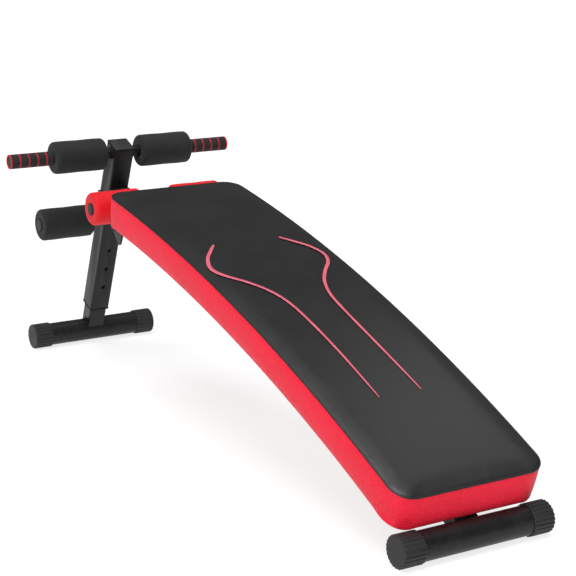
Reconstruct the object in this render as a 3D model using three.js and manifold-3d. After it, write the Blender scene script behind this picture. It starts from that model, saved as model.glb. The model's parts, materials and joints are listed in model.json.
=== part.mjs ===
// Decline sit-up bench with an arched pad and a folding, telescoping upright.
// Millimetres, +Z up, +X towards the low (head) end, +Y towards the right side seen from that end.
// The origin lies on the floor, halfway between the two stabilisers.

import * as THREE from 'three';
import { mergeVertices } from 'three/addons/utils/BufferGeometryUtils.js';
import Module from 'manifold-3d';

const wasm = await Module();
wasm.setup();

// ---- Driving dimensions -------------------------------------------------------------------------

const GAP = 0.3;                       // clearance kept between touching pieces
const ROUND = 24;                      // sides of a round piece

// Stabilisers
const FOOT_SPACING = 1624;             // axis to axis
const FOOT_LENGTH = 330;
const CAP_RADIUS = 31;
const CAP_LENGTH = 46;
const CAP_FLAT = 0.6;                  // depth of the flat that a cap stands on
const FOOT_TUBE_RADIUS = 28;
const WALL = 2;                        // steel wall of every tube

// Upright, measured along its own axis from the axis of the rear stabiliser
const LEAN = THREE.MathUtils.degToRad(22);
const UPRIGHT_WIDTH = 50;
const UPRIGHT_TOP = 550.1;
const UPRIGHT_BOTTOM = 76.7;
const INNER_WIDTH = 42;
const INNER_TOP = 280;
const HOLE_PITCH = 55.5;
const HOLE_COUNT = 3;
const FIRST_HOLE = 146.1;
const HOLE_RADIUS = 5.5;

// Bars and rollers
const BAR_RADIUS = 12.7;
const BAR_WALL = 1.5;
const ROLLER_BORE = 13.1;
const BLACK_ROLLER_RADIUS = 38.5;
const RED_ROLLER_RADIUS = 38;
const TOP_BAR = { x: 4, z: 529, inner: 47.5, outer: 178 };
const LOWER_BAR = { x: 0, z: 339.2, inner: 54, outer: 185 };
const BENCH_BAR = { inner: 43, outer: 165 };
const BAR_SADDLE = 5;                  // height of the block between the main tube and the bench bar
const BENCH_BAR_X = -430;
const GRIP_RADIUS = 17.2;
const GRIP_END = 285;
const END_PLATE = 2.5;

// Pad: its seam line is an arc in the XZ plane, struck from ARC_CENTRE
const SEAM_RADIUS = 4300;
const ARC_CENTRE = { x: -976.8, z: -3783.6 };
const PAD_HIGH_ANGLE = THREE.MathUtils.degToRad(8.45);
const PAD_LOW_ANGLE = THREE.MathUtils.degToRad(24.7);
const PAD_HALF_WIDTH = 164;
const PAD_CORNER = 40;
const PAD_DEPTH = 67;
const BOARD_THICKNESS = 12;
const BOARD_INSET = 8;
const CROWN = 8;

// Main tube and the channels between it and the board
const MAIN_WIDTH = 50;
const MAIN_HEIGHT = 30;
const MAIN_DEPTH = 88;                 // seam line to the tube's centre line
const CHANNEL_LENGTH = 220;
const CHANNEL_WIDTH = 36;
const CHANNEL_ANGLES = [10.6, 16.2, 21.6].map(THREE.MathUtils.degToRad);
const PAD_BOLT_Y = 90;

// Fold pivot and bracket, in the upright's own frame
const PIVOT = { x: 61.5, z: 435.1 };
const FOLD_ANGLE = THREE.MathUtils.degToRad(98);
const GUIDE_RADIUS = 60;
const PLATE = 4;
const BRACKET = { low: 286, high: 405, slack: 0.4 };
const BRACKET_NOSE = { x: 117, z: 351, radius: 13 };
const SPARE_HOLE = { x: 92, z: 347, radius: 7 };
const PIVOT_BOLT_RADIUS = 6;
const GUIDE_BOLT_RADIUS = 5;
const TUBE_PAST_PIVOT = 24;

// ---- Finishes -----------------------------------------------------------------------------------

const finish = (color, roughness, metalness) => new THREE.MeshStandardMaterial({ color, roughness, metalness });
const BLACK_STEEL = finish(0x16171a, 0.45, 0.5);
const BLACK_PLASTIC = finish(0x1d1e20, 0.55, 0);
const BLACK_FOAM = finish(0x1b1c1e, 0.85, 0);
const RED_FOAM = finish(0xd8152c, 0.7, 0);
const BLACK_VINYL = finish(0x151515, 0.4, 0);
const RED_VINYL = finish(0xe01832, 0.55, 0);
const PLYWOOD = finish(0x9a7748, 0.8, 0);
const ZINC = finish(0xb8bcc0, 0.35, 0.9);

// ---- Solids -------------------------------------------------------------------------------------

/** Merges a geometry's corners, drops collapsed triangles and turns the faces outwards. */
function closed(geometry) {
  const bare = new THREE.BufferGeometry();
  bare.setAttribute('position', geometry.getAttribute('position'));
  bare.setIndex(geometry.index);
  const merged = mergeVertices(bare, 1e-4);
  const point = merged.getAttribute('position');
  const corner = [0, 1, 2].map(() => new THREE.Vector3());
  const triangles = [];
  let volume = 0;
  for (let i = 0; i < merged.index.count; i += 3) {
    const [a, b, c] = [0, 1, 2].map((k) => merged.index.getX(i + k));
    if (a === b || b === c || c === a) continue;
    triangles.push([a, b, c]);
    [a, b, c].forEach((index, k) => corner[k].fromBufferAttribute(point, index));
    volume += corner[0].dot(corner[1].clone().cross(corner[2]));
  }
  const outwards = volume > 0 ? triangles : triangles.map(([a, b, c]) => [a, c, b]);
  merged.setIndex(outwards.flat());
  return merged;
}

function toSolid(geometry) {
  const mesh = closed(geometry);
  return new wasm.Manifold(new wasm.Mesh({
    numProp: 3,
    vertProperties: new Float32Array(mesh.getAttribute('position').array),
    triVerts: new Uint32Array(mesh.index.array),
  }));
}

function toGeometry(solid) {
  const mesh = solid.getMesh();
  const geometry = new THREE.BufferGeometry();
  geometry.setAttribute('position', new THREE.BufferAttribute(new Float32Array(mesh.vertProperties), 3));
  geometry.setIndex(new THREE.BufferAttribute(new Uint32Array(mesh.triVerts), 1));
  return geometry;
}

const subtract = (base, ...tools) => toGeometry(
  tools.reduce((solid, tool) => solid.subtract(toSolid(tool)), toSolid(base)));
const unite = (first, ...others) => toGeometry(
  others.reduce((solid, other) => solid.add(toSolid(other)), toSolid(first)));

/** A box given by its lowest and highest corners. */
function box([x0, y0, z0], [x1, y1, z1]) {
  return new THREE.BoxGeometry(x1 - x0, y1 - y0, z1 - z0)
    .translate((x0 + x1) / 2, (y0 + y1) / 2, (z0 + z1) / 2);
}

/** A cylinder along Y from y0 to y1, about the axis through (x, z). */
function rod(radius, y0, y1, x = 0, z = 0, sides = ROUND) {
  return new THREE.CylinderGeometry(radius, radius, y1 - y0, sides).translate(x, (y0 + y1) / 2, z);
}

/** A cylinder along X from x0 to x1, at height z. */
function crossRod(radius, x0, x1, z, sides = 20) {
  return new THREE.CylinderGeometry(radius, radius, x1 - x0, sides)
    .rotateZ(Math.PI / 2).translate((x0 + x1) / 2, 0, z);
}

/** Turns a closed profile of [radius, y] points about the Y axis. */
function turned(profile, sides = ROUND) {
  return closed(new THREE.LatheGeometry(profile.map(([r, y]) => new THREE.Vector2(r, y)), sides));
}

/** A round tube along Y, open at both ends. */
function roundTube(radius, wall, y0, y1) {
  return turned([[radius, y0], [radius, y1], [radius - wall, y1], [radius - wall, y0], [radius, y0]]);
}

/** A square tube along Z, open at both ends. */
function squareTube(width, wall, z0, z1) {
  const outer = width / 2;
  const inner = outer - wall;
  return subtract(
    box([-outer, -outer, z0], [outer, outer, z1]),
    box([-inner, -inner, z0 - 1], [inner, inner, z1 + 1]),
  );
}

/** A plate cut to a shape in the XZ plane, from y0 to y1. */
function plate(shape, y0, y1) {
  return new THREE.ExtrudeGeometry(shape, { depth: y1 - y0, bevelEnabled: false, curveSegments: 7 })
    .rotateX(Math.PI / 2).translate(0, y1, 0);
}

const mirrored = (geometry) => closed(geometry.clone().scale(1, -1, 1));

// ---- The arc that the pad and the main tube follow ------------------------------------------------

/** The point at an angle along the seam arc, y across it and h above it. */
function onArc(angle, y, h) {
  const radius = SEAM_RADIUS + h;
  return new THREE.Vector3(
    ARC_CENTRE.x + radius * Math.sin(angle), y, ARC_CENTRE.z + radius * Math.cos(angle));
}

/** Turns and moves a geometry from the arc's tangent frame (x along, z outwards) to an angle and depth. */
function placedOnArc(geometry, angle, h) {
  const place = onArc(angle, 0, h);
  return geometry.rotateY(angle).translate(place.x, place.y, place.z);
}

/** Joins equal loops of points into a closed loft whose end loops are filled in. */
function loft(loops) {
  const count = loops[0].length;
  const index = [];
  for (let i = 0; i + 1 < loops.length; i += 1) {
    for (let j = 0; j < count; j += 1) {
      const a = i * count + j;
      const b = i * count + (j + 1) % count;
      index.push(a, b, a + count, b, b + count, a + count);
    }
  }
  const flat = loops[0].map((point) => new THREE.Vector2(point.y, point.z));
  const last = (loops.length - 1) * count;
  for (const [a, b, c] of THREE.ShapeUtils.triangulateShape(flat, [])) {
    index.push(a, c, b, last + a, last + b, last + c);
  }
  const geometry = new THREE.BufferGeometry().setFromPoints(loops.flat());
  geometry.setIndex(index);
  return closed(geometry);
}

/** Angles along the pad, closer together in the rounded corners. */
function padStations(inset) {
  const radius = PAD_CORNER - inset;
  const trim = inset / SEAM_RADIUS;
  const corner = [0, 1, 2, 3, 4].map((k) => radius * (1 - Math.cos(k * Math.PI / 8)) / SEAM_RADIUS);
  const low = PAD_LOW_ANGLE - trim;
  const high = PAD_HIGH_ANGLE + trim;
  const from = high + radius / SEAM_RADIUS;
  const span = low - radius / SEAM_RADIUS - from;
  const steps = 18;
  const middle = Array.from({ length: steps - 1 }, (_, k) => from + span * (k + 1) / steps);
  return [...corner.map((d) => high + d), ...middle, ...corner.map((d) => low - d).reverse()];
}

/** Half the pad's width at an angle, less an inset, following its rounded corners. */
function padHalfWidth(angle, inset) {
  const radius = PAD_CORNER - inset;
  const toEnd = SEAM_RADIUS * Math.min(angle - PAD_HIGH_ANGLE, PAD_LOW_ANGLE - angle) - inset;
  const short = Math.max(0, radius - toEnd);
  return PAD_HALF_WIDTH - inset - radius + Math.sqrt(Math.max(0, radius ** 2 - short ** 2));
}

/** A layer of the pad: profile gives [inset, h] from the middle of its underside round to its top. */
function padLayer(profile, planInset = 0) {
  return loft(padStations(planInset).map((angle) => {
    const half = padHalfWidth(angle, planInset);
    const side = profile(angle).map(([inset, h]) => [half - inset, h]);
    const right = side.map(([y, h]) => onArc(angle, y, h));
    const left = side.map(([y, h]) => onArc(angle, -y, h)).reverse();
    return [...right, ...left];
  }));
}

// ---- Bench frame --------------------------------------------------------------------------------

const half = FOOT_SPACING / 2;
const footHeight = CAP_RADIUS - CAP_FLAT;
const lowAxis = new THREE.Vector3(half, 0, footHeight);
const rearAxis = new THREE.Vector3(-half, 0, footHeight);

/** A point of the upright's own frame, in the bench's frame. */
function fromUpright(x, z) {
  return new THREE.Vector3(x, 0, z).applyAxisAngle(new THREE.Vector3(0, 1, 0), LEAN).add(rearAxis);
}

const pivot = fromUpright(PIVOT.x, PIVOT.z);
const mainRadius = SEAM_RADIUS - MAIN_DEPTH;
const angleAtX = (x) => Math.asin((x - ARC_CENTRE.x) / mainRadius);
const pivotAngle = angleAtX(pivot.x);
const guideAngle = pivotAngle + GUIDE_RADIUS / mainRadius;
const guide = onArc(guideAngle, 0, -MAIN_DEPTH);

function mainTubeBar(shrink, first, last) {
  const steps = 28;
  const section = [[-1, -1], [1, -1], [1, 1], [-1, 1]];
  const [wide, high] = [MAIN_WIDTH / 2 - shrink, MAIN_HEIGHT / 2 - shrink];
  const loops = Array.from({ length: steps + 1 }, (_, k) => {
    const angle = first + (last - first) * k / steps;
    return section.map(([y, h]) => onArc(angle, y * wide, h * high - MAIN_DEPTH));
  });
  return loft(loops);
}

function mainTube() {
  const first = pivotAngle - TUBE_PAST_PIVOT / mainRadius;
  const last = angleAtX(lowAxis.x);
  const margin = 0.01;
  return subtract(
    mainTubeBar(0, first, last),
    mainTubeBar(WALL, first - margin, last + margin),
    rod(FOOT_TUBE_RADIUS + GAP, -MAIN_WIDTH, MAIN_WIDTH, lowAxis.x, lowAxis.z),
    rod(PIVOT_BOLT_RADIUS + GAP, -MAIN_WIDTH, MAIN_WIDTH, pivot.x, pivot.z, 20),
    rod(GUIDE_BOLT_RADIUS + GAP, -MAIN_WIDTH, MAIN_WIDTH, guide.x, guide.z, 20),
  );
}

/** The plug in the tube's high end: its flange is cut to the upright's face and clears its swing. */
function endStop() {
  const face = PIVOT.x - UPRIGHT_WIDTH / 2 - GAP;
  const depth = MAIN_HEIGHT / 2;
  const side = MAIN_WIDTH / 2;
  const start = TUBE_PAST_PIVOT + GAP;
  const fall = LEAN - pivotAngle;      // angle between the tube's axis and the face's normal
  const shape = new THREE.Shape();
  const topX = (face - depth * Math.sin(fall)) / Math.cos(fall);
  const low = Math.asin(depth / face);
  shape.moveTo(-start, -depth);
  shape.lineTo(-start, depth);
  shape.lineTo(-topX, depth);
  shape.absarc(0, 0, face, Math.PI - fall, Math.PI + low, false);
  const flange = plate(shape, -side, side);
  const play = WALL + GAP;
  const insert = box([-start - 0.5, play - side, play - depth], [-start + 8, side - play, depth - play]);
  return placedOnArc(unite(flange, insert), pivotAngle, -MAIN_DEPTH);
}

/** An end cap for the left (-Y) end of a stabiliser: a cup that stands on a narrow flat. */
function footCap() {
  const end = -FOOT_LENGTH / 2;
  const sleeve = FOOT_TUBE_RADIUS + GAP;
  const cup = turned([
    [0, end], [CAP_RADIUS - 3, end], [CAP_RADIUS, end + 3],
    [CAP_RADIUS, end + CAP_LENGTH], [sleeve, end + CAP_LENGTH], [sleeve, end + 5], [0, end + 5],
  ], 36);
  const below = box([-CAP_RADIUS, 2 * end, -2 * CAP_RADIUS], [CAP_RADIUS, 0, -footHeight]);
  return subtract(cup, below);
}

const footTube = () => roundTube(FOOT_TUBE_RADIUS, WALL, -FOOT_LENGTH / 2 + 5.5, FOOT_LENGTH / 2 - 5.5);

// ---- Pad ----------------------------------------------------------------------------------------

const boardTop = BOARD_THICKNESS - PAD_DEPTH;

function padBoard() {
  const layer = padLayer(() => [[0, -PAD_DEPTH], [0, boardTop - GAP]], BOARD_INSET + GAP);
  return subtract(layer, ...boltPlaces().map(([angle, y]) => boltHole(angle, y)));
}

function padCore() {
  const body = padLayer(() => [[6, -PAD_DEPTH], [1.5, 4 - PAD_DEPTH], [0, 10 - PAD_DEPTH], [0, -3 - GAP]]);
  return subtract(body, padLayer(() => [[0, -PAD_DEPTH - 1], [0, boardTop]], BOARD_INSET));
}

function padTop() {
  const fade = 80 / SEAM_RADIUS;
  return padLayer((angle) => {
    const toEnd = Math.min(angle - PAD_HIGH_ANGLE, PAD_LOW_ANGLE - angle);
    const rise = CROWN * Math.sin(Math.min(1, toEnd / fade) * Math.PI / 2);
    return [[0, -3], [0, 0], [5, 0.3 * rise], [30, 0.75 * rise], [90, rise]];
  });
}

/** A shallow steel channel, its web on the main tube and its two flanges on the board. */
function padChannel(angle) {
  const deep = MAIN_DEPTH - MAIN_HEIGHT / 2 - PAD_DEPTH - 2 * GAP;
  const wall = 2.5;
  const [x, y] = [CHANNEL_WIDTH / 2, CHANNEL_LENGTH / 2];
  const channel = subtract(
    box([-x, -y, -deep], [x, y, 0]),
    box([wall - x, -y - 1, wall - deep], [x - wall, y + 1, 1]),
  );
  const placed = placedOnArc(channel, angle, -PAD_DEPTH - GAP);
  return subtract(placed, boltHole(angle, -PAD_BOLT_Y), boltHole(angle, PAD_BOLT_Y));
}

const boltPlaces = () => CHANNEL_ANGLES.flatMap((angle) => [-1, 1].map((side) => [angle, side * PAD_BOLT_Y]));

/** An upright bolt blank of one radius between two heights above the seam arc. */
function boltRod(radius, low, high, angle, y, sides) {
  const blank = new THREE.CylinderGeometry(radius, radius, high - low, sides)
    .rotateX(Math.PI / 2).translate(0, y, (high + low) / 2);
  return placedOnArc(blank, angle, 0);
}

const boltTop = boardTop - 5;
const boltHole = (angle, y) => boltRod(4 + GAP, -MAIN_DEPTH, boltTop + 1, angle, y, 16);

function padBolt(angle, y) {
  const web = MAIN_HEIGHT / 2 - MAIN_DEPTH;
  return unite(boltRod(7.5, web - 5, web, angle, y, 6), boltRod(4, web - 1, boltTop, angle, y, 16));
}

// ---- Bars, rollers and fold hardware --------------------------------------------------------------

/** A foam roller along Y with rounded shoulders. */
function roller(radius, y0, y1) {
  const shoulder = 9;
  const arc = [0, 30, 60, 90].map((degrees) => {
    const turn = THREE.MathUtils.degToRad(degrees);
    return [shoulder * (1 - Math.sin(turn)), shoulder * (1 - Math.cos(turn))];
  });
  const near = arc.map(([down, along]) => [radius - down, y0 + along]);
  const far = arc.map(([down, along]) => [radius - down, y1 - along]).reverse();
  return turned([[ROLLER_BORE, y0], ...near, ...far, [ROLLER_BORE, y1], [ROLLER_BORE, y0]]);
}

/** The block welded between the main tube and the bench bar, hollowed for the bar. */
function barSaddle(angle) {
  const [x, y] = [14, 20];
  const low = MAIN_HEIGHT / 2 - MAIN_DEPTH + GAP;
  const block = placedOnArc(box([-x, -y, 0], [x, y, BAR_SADDLE + 6]), angle, low);
  const bar = onArc(angle, 0, low + BAR_SADDLE + BAR_RADIUS);
  return subtract(block, rod(BAR_RADIUS + GAP, -2 * y, 2 * y, bar.x, bar.z));
}

/** A plug for the left (-Y) end of a bar: a disc on the end and a stem inside the tube. */
function barPlug(end, discRadius) {
  const stem = BAR_RADIUS - BAR_WALL - GAP;
  return turned([
    [0, end - END_PLATE], [discRadius - 1, end - END_PLATE], [discRadius, end - END_PLATE + 1],
    [discRadius, end], [stem, end], [stem, end + 12], [0, end + 12],
  ], 20);
}

function grip() {
  const start = -TOP_BAR.outer - 1;
  return turned([
    [BAR_RADIUS + GAP, -GRIP_END], [GRIP_RADIUS, -GRIP_END], [GRIP_RADIUS, start],
    [BAR_RADIUS + GAP, start], [BAR_RADIUS + GAP, -GRIP_END],
  ]);
}

const outerPlate = UPRIGHT_WIDTH / 2 + BRACKET.slack + PLATE;
const washerThickness = 1.5;

function hexBolt(radius, headRadius, headHeight, head, tip) {
  return unite(
    rod(headRadius, head - headHeight, head, 0, 0, 6),
    rod(radius, head - 1, tip, 0, 0, 20),
  );
}

function hexNut(radius, size, y0, y1) {
  return subtract(rod(size, y0, y1, 0, 0, 6), rod(radius + GAP, y0 - 1, y1 + 1, 0, 0, 20));
}

function washer(y0, y1) {
  return subtract(rod(13, y0, y1, 0, 0, 24), rod(PIVOT_BOLT_RADIUS + GAP, y0 - 1, y1 + 1, 0, 0, 20));
}

/** A five-lobed hand knob, bored for the guide bolt. */
function lockKnob(y0) {
  const lobes = 5;
  const shape = new THREE.Shape();
  const points = 40;
  for (let i = 0; i < points; i += 1) {
    const turn = i / points * 2 * Math.PI;
    const reach = 18 + 3 * Math.cos(lobes * turn);
    const at = [reach * Math.cos(turn), reach * Math.sin(turn)];
    if (i === 0) shape.moveTo(...at);
    else shape.lineTo(...at);
  }
  const head = plate(shape, y0 + 6, y0 + 20);
  const bore = rod(GUIDE_BOLT_RADIUS + GAP, y0 - 1, y0 + 14, 0, 0, 20);
  return subtract(unite(head, rod(11, y0, y0 + 8, 0, 0, 24)), bore);
}

// ---- Upright ------------------------------------------------------------------------------------

const holeHeights = Array.from({ length: HOLE_COUNT }, (_, k) => FIRST_HOLE + k * HOLE_PITCH);
const buttonHeight = holeHeights[HOLE_COUNT - 1];
const capThickness = 3;

function uprightTube() {
  const tube = squareTube(UPRIGHT_WIDTH, WALL, UPRIGHT_BOTTOM, UPRIGHT_TOP - capThickness - GAP);
  return subtract(
    tube,
    rod(BAR_RADIUS + GAP, -UPRIGHT_WIDTH, UPRIGHT_WIDTH, TOP_BAR.x, TOP_BAR.z, 24),
    rod(BAR_RADIUS + GAP, -UPRIGHT_WIDTH, UPRIGHT_WIDTH, LOWER_BAR.x, LOWER_BAR.z, 24),
    ...holeHeights.map((z) => crossRod(HOLE_RADIUS, -UPRIGHT_WIDTH, UPRIGHT_WIDTH, z)),
  );
}

function uprightCap() {
  const outer = UPRIGHT_WIDTH / 2;
  const inner = outer - WALL - GAP;
  const under = UPRIGHT_TOP - capThickness;
  return unite(
    box([-outer, -outer, under], [outer, outer, UPRIGHT_TOP]),
    box([-inner, -inner, under - 3.5], [inner, inner, under + 1]),
  );
}

/** The bracket's side plate: from the back of the upright round the pivot and the guide bolt. */
function bracketOutline() {
  const guideTurn = LEAN - pivotAngle;
  const tip = new THREE.Vector2(
    PIVOT.x + GUIDE_RADIUS * Math.cos(guideTurn), PIVOT.z + GUIDE_RADIUS * Math.sin(guideTurn));
  const shape = new THREE.Shape();
  const { x, z, radius } = BRACKET_NOSE;
  shape.moveTo(-outerPlate, BRACKET.low);
  shape.absarc(x, z, radius, -1.2, 0, false);
  shape.lineTo(tip.x + 17, tip.y);
  shape.absarc(tip.x, tip.y, 17, 0, Math.PI / 2, false);
  shape.absarc(PIVOT.x, PIVOT.z, 20, Math.PI / 2, Math.PI * 0.62, false);
  shape.lineTo(UPRIGHT_WIDTH / 2, BRACKET.high + 19);
  shape.lineTo(-outerPlate, BRACKET.high);
  return shape;
}

/** The arc slot that the guide bolt runs in while the upright folds. */
function guideSlot(y0, y1) {
  const start = LEAN - pivotAngle;
  const width = GUIDE_BOLT_RADIUS + 0.6;
  const end = start - FOLD_ANGLE;
  const shape = new THREE.Shape();
  const at = (turn) => [PIVOT.x + GUIDE_RADIUS * Math.cos(turn), PIVOT.z + GUIDE_RADIUS * Math.sin(turn)];
  shape.absarc(PIVOT.x, PIVOT.z, GUIDE_RADIUS + width, end, start, false);
  shape.absarc(...at(start), width, start, start + Math.PI, false);
  shape.absarc(PIVOT.x, PIVOT.z, GUIDE_RADIUS - width, start, end, true);
  shape.absarc(...at(end), width, end + Math.PI, end + 2 * Math.PI, false);
  return plate(shape, y0, y1);
}

function pivotBracket() {
  const inside = UPRIGHT_WIDTH / 2 + BRACKET.slack;
  const side = plate(bracketOutline(), inside, outerPlate);
  const back = box([-outerPlate, -inside - 1, BRACKET.low], [-inside, inside + 1, BRACKET.high]);
  return subtract(
    unite(back, side, mirrored(side)),
    rod(PIVOT_BOLT_RADIUS + GAP, -UPRIGHT_WIDTH, UPRIGHT_WIDTH, PIVOT.x, PIVOT.z, 20),
    rod(SPARE_HOLE.radius, -UPRIGHT_WIDTH, UPRIGHT_WIDTH, SPARE_HOLE.x, SPARE_HOLE.z, 20),
    guideSlot(-UPRIGHT_WIDTH, UPRIGHT_WIDTH),
    rod(BAR_RADIUS + GAP, -UPRIGHT_WIDTH, UPRIGHT_WIDTH, LOWER_BAR.x, LOWER_BAR.z, 24),
  );
}

/** The plastic sleeve between the upright and the leg, with a lip under the upright. */
function legBushing() {
  const outer = UPRIGHT_WIDTH / 2 - WALL - GAP;
  const lip = UPRIGHT_BOTTOM - GAP;
  const bore = INNER_WIDTH / 2 + GAP;
  return subtract(
    unite(
      box([-outer, -outer, lip - 1], [outer, outer, lip + 34]),
      box([-outer - WALL, -outer - WALL, lip - 2], [outer + WALL, outer + WALL, lip]),
    ),
    box([-bore, -bore, lip - 3], [bore, bore, lip + 35]),
  );
}

// ---- Leg ----------------------------------------------------------------------------------------

function innerLeg() {
  return subtract(
    squareTube(INNER_WIDTH, WALL, FOOT_TUBE_RADIUS - 12, INNER_TOP),
    rod(FOOT_TUBE_RADIUS + GAP, -INNER_WIDTH, INNER_WIDTH),
    crossRod(HOLE_RADIUS, 0, INNER_WIDTH, buttonHeight),
  );
}

/** The snap button: a domed pin with a collar inside the leg. */
function snapButton() {
  const tip = INNER_WIDTH / 2 + 0.1;
  const seat = INNER_WIDTH / 2 - WALL - 9;
  return turned([
    [0, seat], [7, seat], [7, seat + 2], [4.8, seat + 2], [4.8, tip - 1.5], [3.4, tip], [0, tip],
  ], 20).rotateZ(-Math.PI / 2).translate(0, 0, buttonHeight);
}

/** The leaf spring behind the button: a strip bent back on itself below the button. */
function snapSpring() {
  const shape = new THREE.Shape();
  const wall = INNER_WIDTH / 2 - WALL - GAP;
  const thick = 1;
  const front = wall - 9.4;
  const [low, high] = [buttonHeight - 50, buttonHeight + 7];
  shape.moveTo(-wall, high);
  shape.lineTo(-wall, low);
  shape.lineTo(-wall + 3, low - 4);
  shape.lineTo(-wall + 6, low);
  shape.lineTo(front, high);
  shape.lineTo(front - thick, high);
  shape.lineTo(-wall + 6 - thick, low + thick);
  shape.lineTo(-wall + 3, low - 4 + 2 * thick);
  shape.lineTo(-wall + thick, low + thick);
  shape.lineTo(-wall + thick, high);
  return plate(shape, -5, 5);
}

// ---- Assembly -----------------------------------------------------------------------------------

const bench = new THREE.Group();

function addPiece(name, geometry, material, parent = bench) {
  const shaded = geometry.index ? geometry.toNonIndexed() : geometry;
  shaded.computeVertexNormals();
  const mesh = new THREE.Mesh(shaded, material);
  mesh.name = name;
  parent.add(mesh);
}

function groupAt(position, lean = 0) {
  const group = new THREE.Group();
  group.position.copy(position);
  group.rotation.y = lean;
  bench.add(group);
  return group;
}

/** Adds a piece made for the left (-Y) side and its mirror image for the right. */
function addPair(name, geometry, material, parent) {
  addPiece(`${name}_left`, geometry, material, parent);
  addPiece(`${name}_right`, mirrored(geometry), material, parent);
}

/** Adds a roller on each side of a bar. */
function addRollers(name, bar, radius, material, parent) {
  addPair(name, roller(radius, -bar.outer, -bar.inner), material, parent);
}

function addBench() {
  addPiece('main_tube', mainTube(), BLACK_STEEL);
  addPiece('end_stop', endStop(), BLACK_PLASTIC);
  CHANNEL_ANGLES.forEach((angle, k) => {
    addPiece(`pad_plate_${['high', 'mid', 'low'][k]}`, padChannel(angle), BLACK_STEEL);
  });
  boltPlaces().forEach(([angle, y], k) => addPiece(`pad_bolt_${k + 1}`, padBolt(angle, y), ZINC));
  addPiece('pad_board', padBoard(), PLYWOOD);
  addPiece('pad_core', padCore(), RED_VINYL);
  addPiece('pad_top', padTop(), BLACK_VINYL);

  const low = groupAt(lowAxis);
  addPiece('low_cross_tube', footTube(), BLACK_STEEL, low);
  addPair('low_cap', footCap(), BLACK_PLASTIC, low);

  const barAngle = angleAtX(BENCH_BAR_X);
  addPiece('bench_bar_saddle', barSaddle(barAngle), BLACK_STEEL);
  const barHeight = MAIN_HEIGHT / 2 - MAIN_DEPTH + GAP + BAR_SADDLE + BAR_RADIUS;
  const rollers = groupAt(onArc(barAngle, 0, barHeight));
  const barEnd = BENCH_BAR.outer + GAP;
  addPiece('bench_bar', roundTube(BAR_RADIUS, BAR_WALL, -barEnd, barEnd), BLACK_STEEL, rollers);
  addPair('bench_bar_plug', barPlug(-barEnd - GAP, 14), BLACK_PLASTIC, rollers);
  addRollers('bench_roller', BENCH_BAR, RED_ROLLER_RADIUS, RED_FOAM, rollers);

  const hinge = groupAt(pivot);
  const washerFace = outerPlate + GAP;
  const headFace = washerFace + washerThickness + GAP;
  addPiece('pivot_bolt', hexBolt(PIVOT_BOLT_RADIUS, 11, 7, -headFace, headFace + 11), ZINC, hinge);
  addPair('pivot_washer', washer(-washerFace - washerThickness, -washerFace), ZINC, hinge);
  addPiece('pivot_nut', hexNut(PIVOT_BOLT_RADIUS, 11, headFace, headFace + 8), ZINC, hinge);

  const lock = groupAt(guide);
  addPiece('guide_bolt', hexBolt(GUIDE_BOLT_RADIUS, 9, 5, -washerFace, washerFace + 12), ZINC, lock);
  addPiece('lock_knob', lockKnob(washerFace), BLACK_PLASTIC, lock);
}

function addUpright() {
  const upright = groupAt(rearAxis, LEAN);
  addPiece('upright_tube', uprightTube(), BLACK_STEEL, upright);
  addPiece('upright_cap', uprightCap(), BLACK_PLASTIC, upright);
  addPiece('pivot_bracket', pivotBracket(), BLACK_STEEL, upright);
  addPiece('leg_bushing', legBushing(), BLACK_PLASTIC, upright);

  const top = new THREE.Group();
  top.position.set(TOP_BAR.x, 0, TOP_BAR.z);
  upright.add(top);
  const topEnd = GRIP_END - GAP;
  addPiece('top_bar', roundTube(BAR_RADIUS, BAR_WALL, -topEnd, topEnd), BLACK_STEEL, top);
  addRollers('top_roller', TOP_BAR, BLACK_ROLLER_RADIUS, BLACK_FOAM, top);
  addPair('grip', grip(), BLACK_FOAM, top);
  addPair('grip_cap', barPlug(-GRIP_END - GAP, GRIP_RADIUS), BLACK_PLASTIC, top);

  const lower = new THREE.Group();
  lower.position.set(LOWER_BAR.x, 0, LOWER_BAR.z);
  upright.add(lower);
  const lowerEnd = LOWER_BAR.outer + GAP;
  addPiece('lower_bar', roundTube(BAR_RADIUS, BAR_WALL, -lowerEnd, lowerEnd), BLACK_STEEL, lower);
  addRollers('lower_roller', LOWER_BAR, BLACK_ROLLER_RADIUS, BLACK_FOAM, lower);
  addPair('lower_bar_plug', barPlug(-lowerEnd - GAP, 14), BLACK_PLASTIC, lower);
}

function addLeg() {
  const leg = groupAt(rearAxis, LEAN);
  addPiece('inner_leg', innerLeg(), BLACK_STEEL, leg);
  addPiece('snap_button', snapButton(), BLACK_PLASTIC, leg);
  addPiece('snap_spring', snapSpring(), ZINC, leg);
  const foot = groupAt(rearAxis);
  addPiece('foot_cross_tube', footTube(), BLACK_STEEL, foot);
  addPair('foot_cap', footCap(), BLACK_PLASTIC, foot);
}

addBench();
addUpright();
addLeg();

export default bench;
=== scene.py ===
"""Looks of a folding decline sit-up bench: the upholstered pad, foam rollers, grips, feet and steel frame.

Everything is in metres, +Z up, +X towards the head end and +Y towards the right side seen from that end.
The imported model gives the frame, and each class below builds and dresses one group of its pieces.
"""

import json
import logging
import math
from collections.abc import Iterable
from dataclasses import dataclass, field
from enum import Enum

import bmesh
import bpy
import numpy as np
from mathutils import Matrix, Vector

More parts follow.
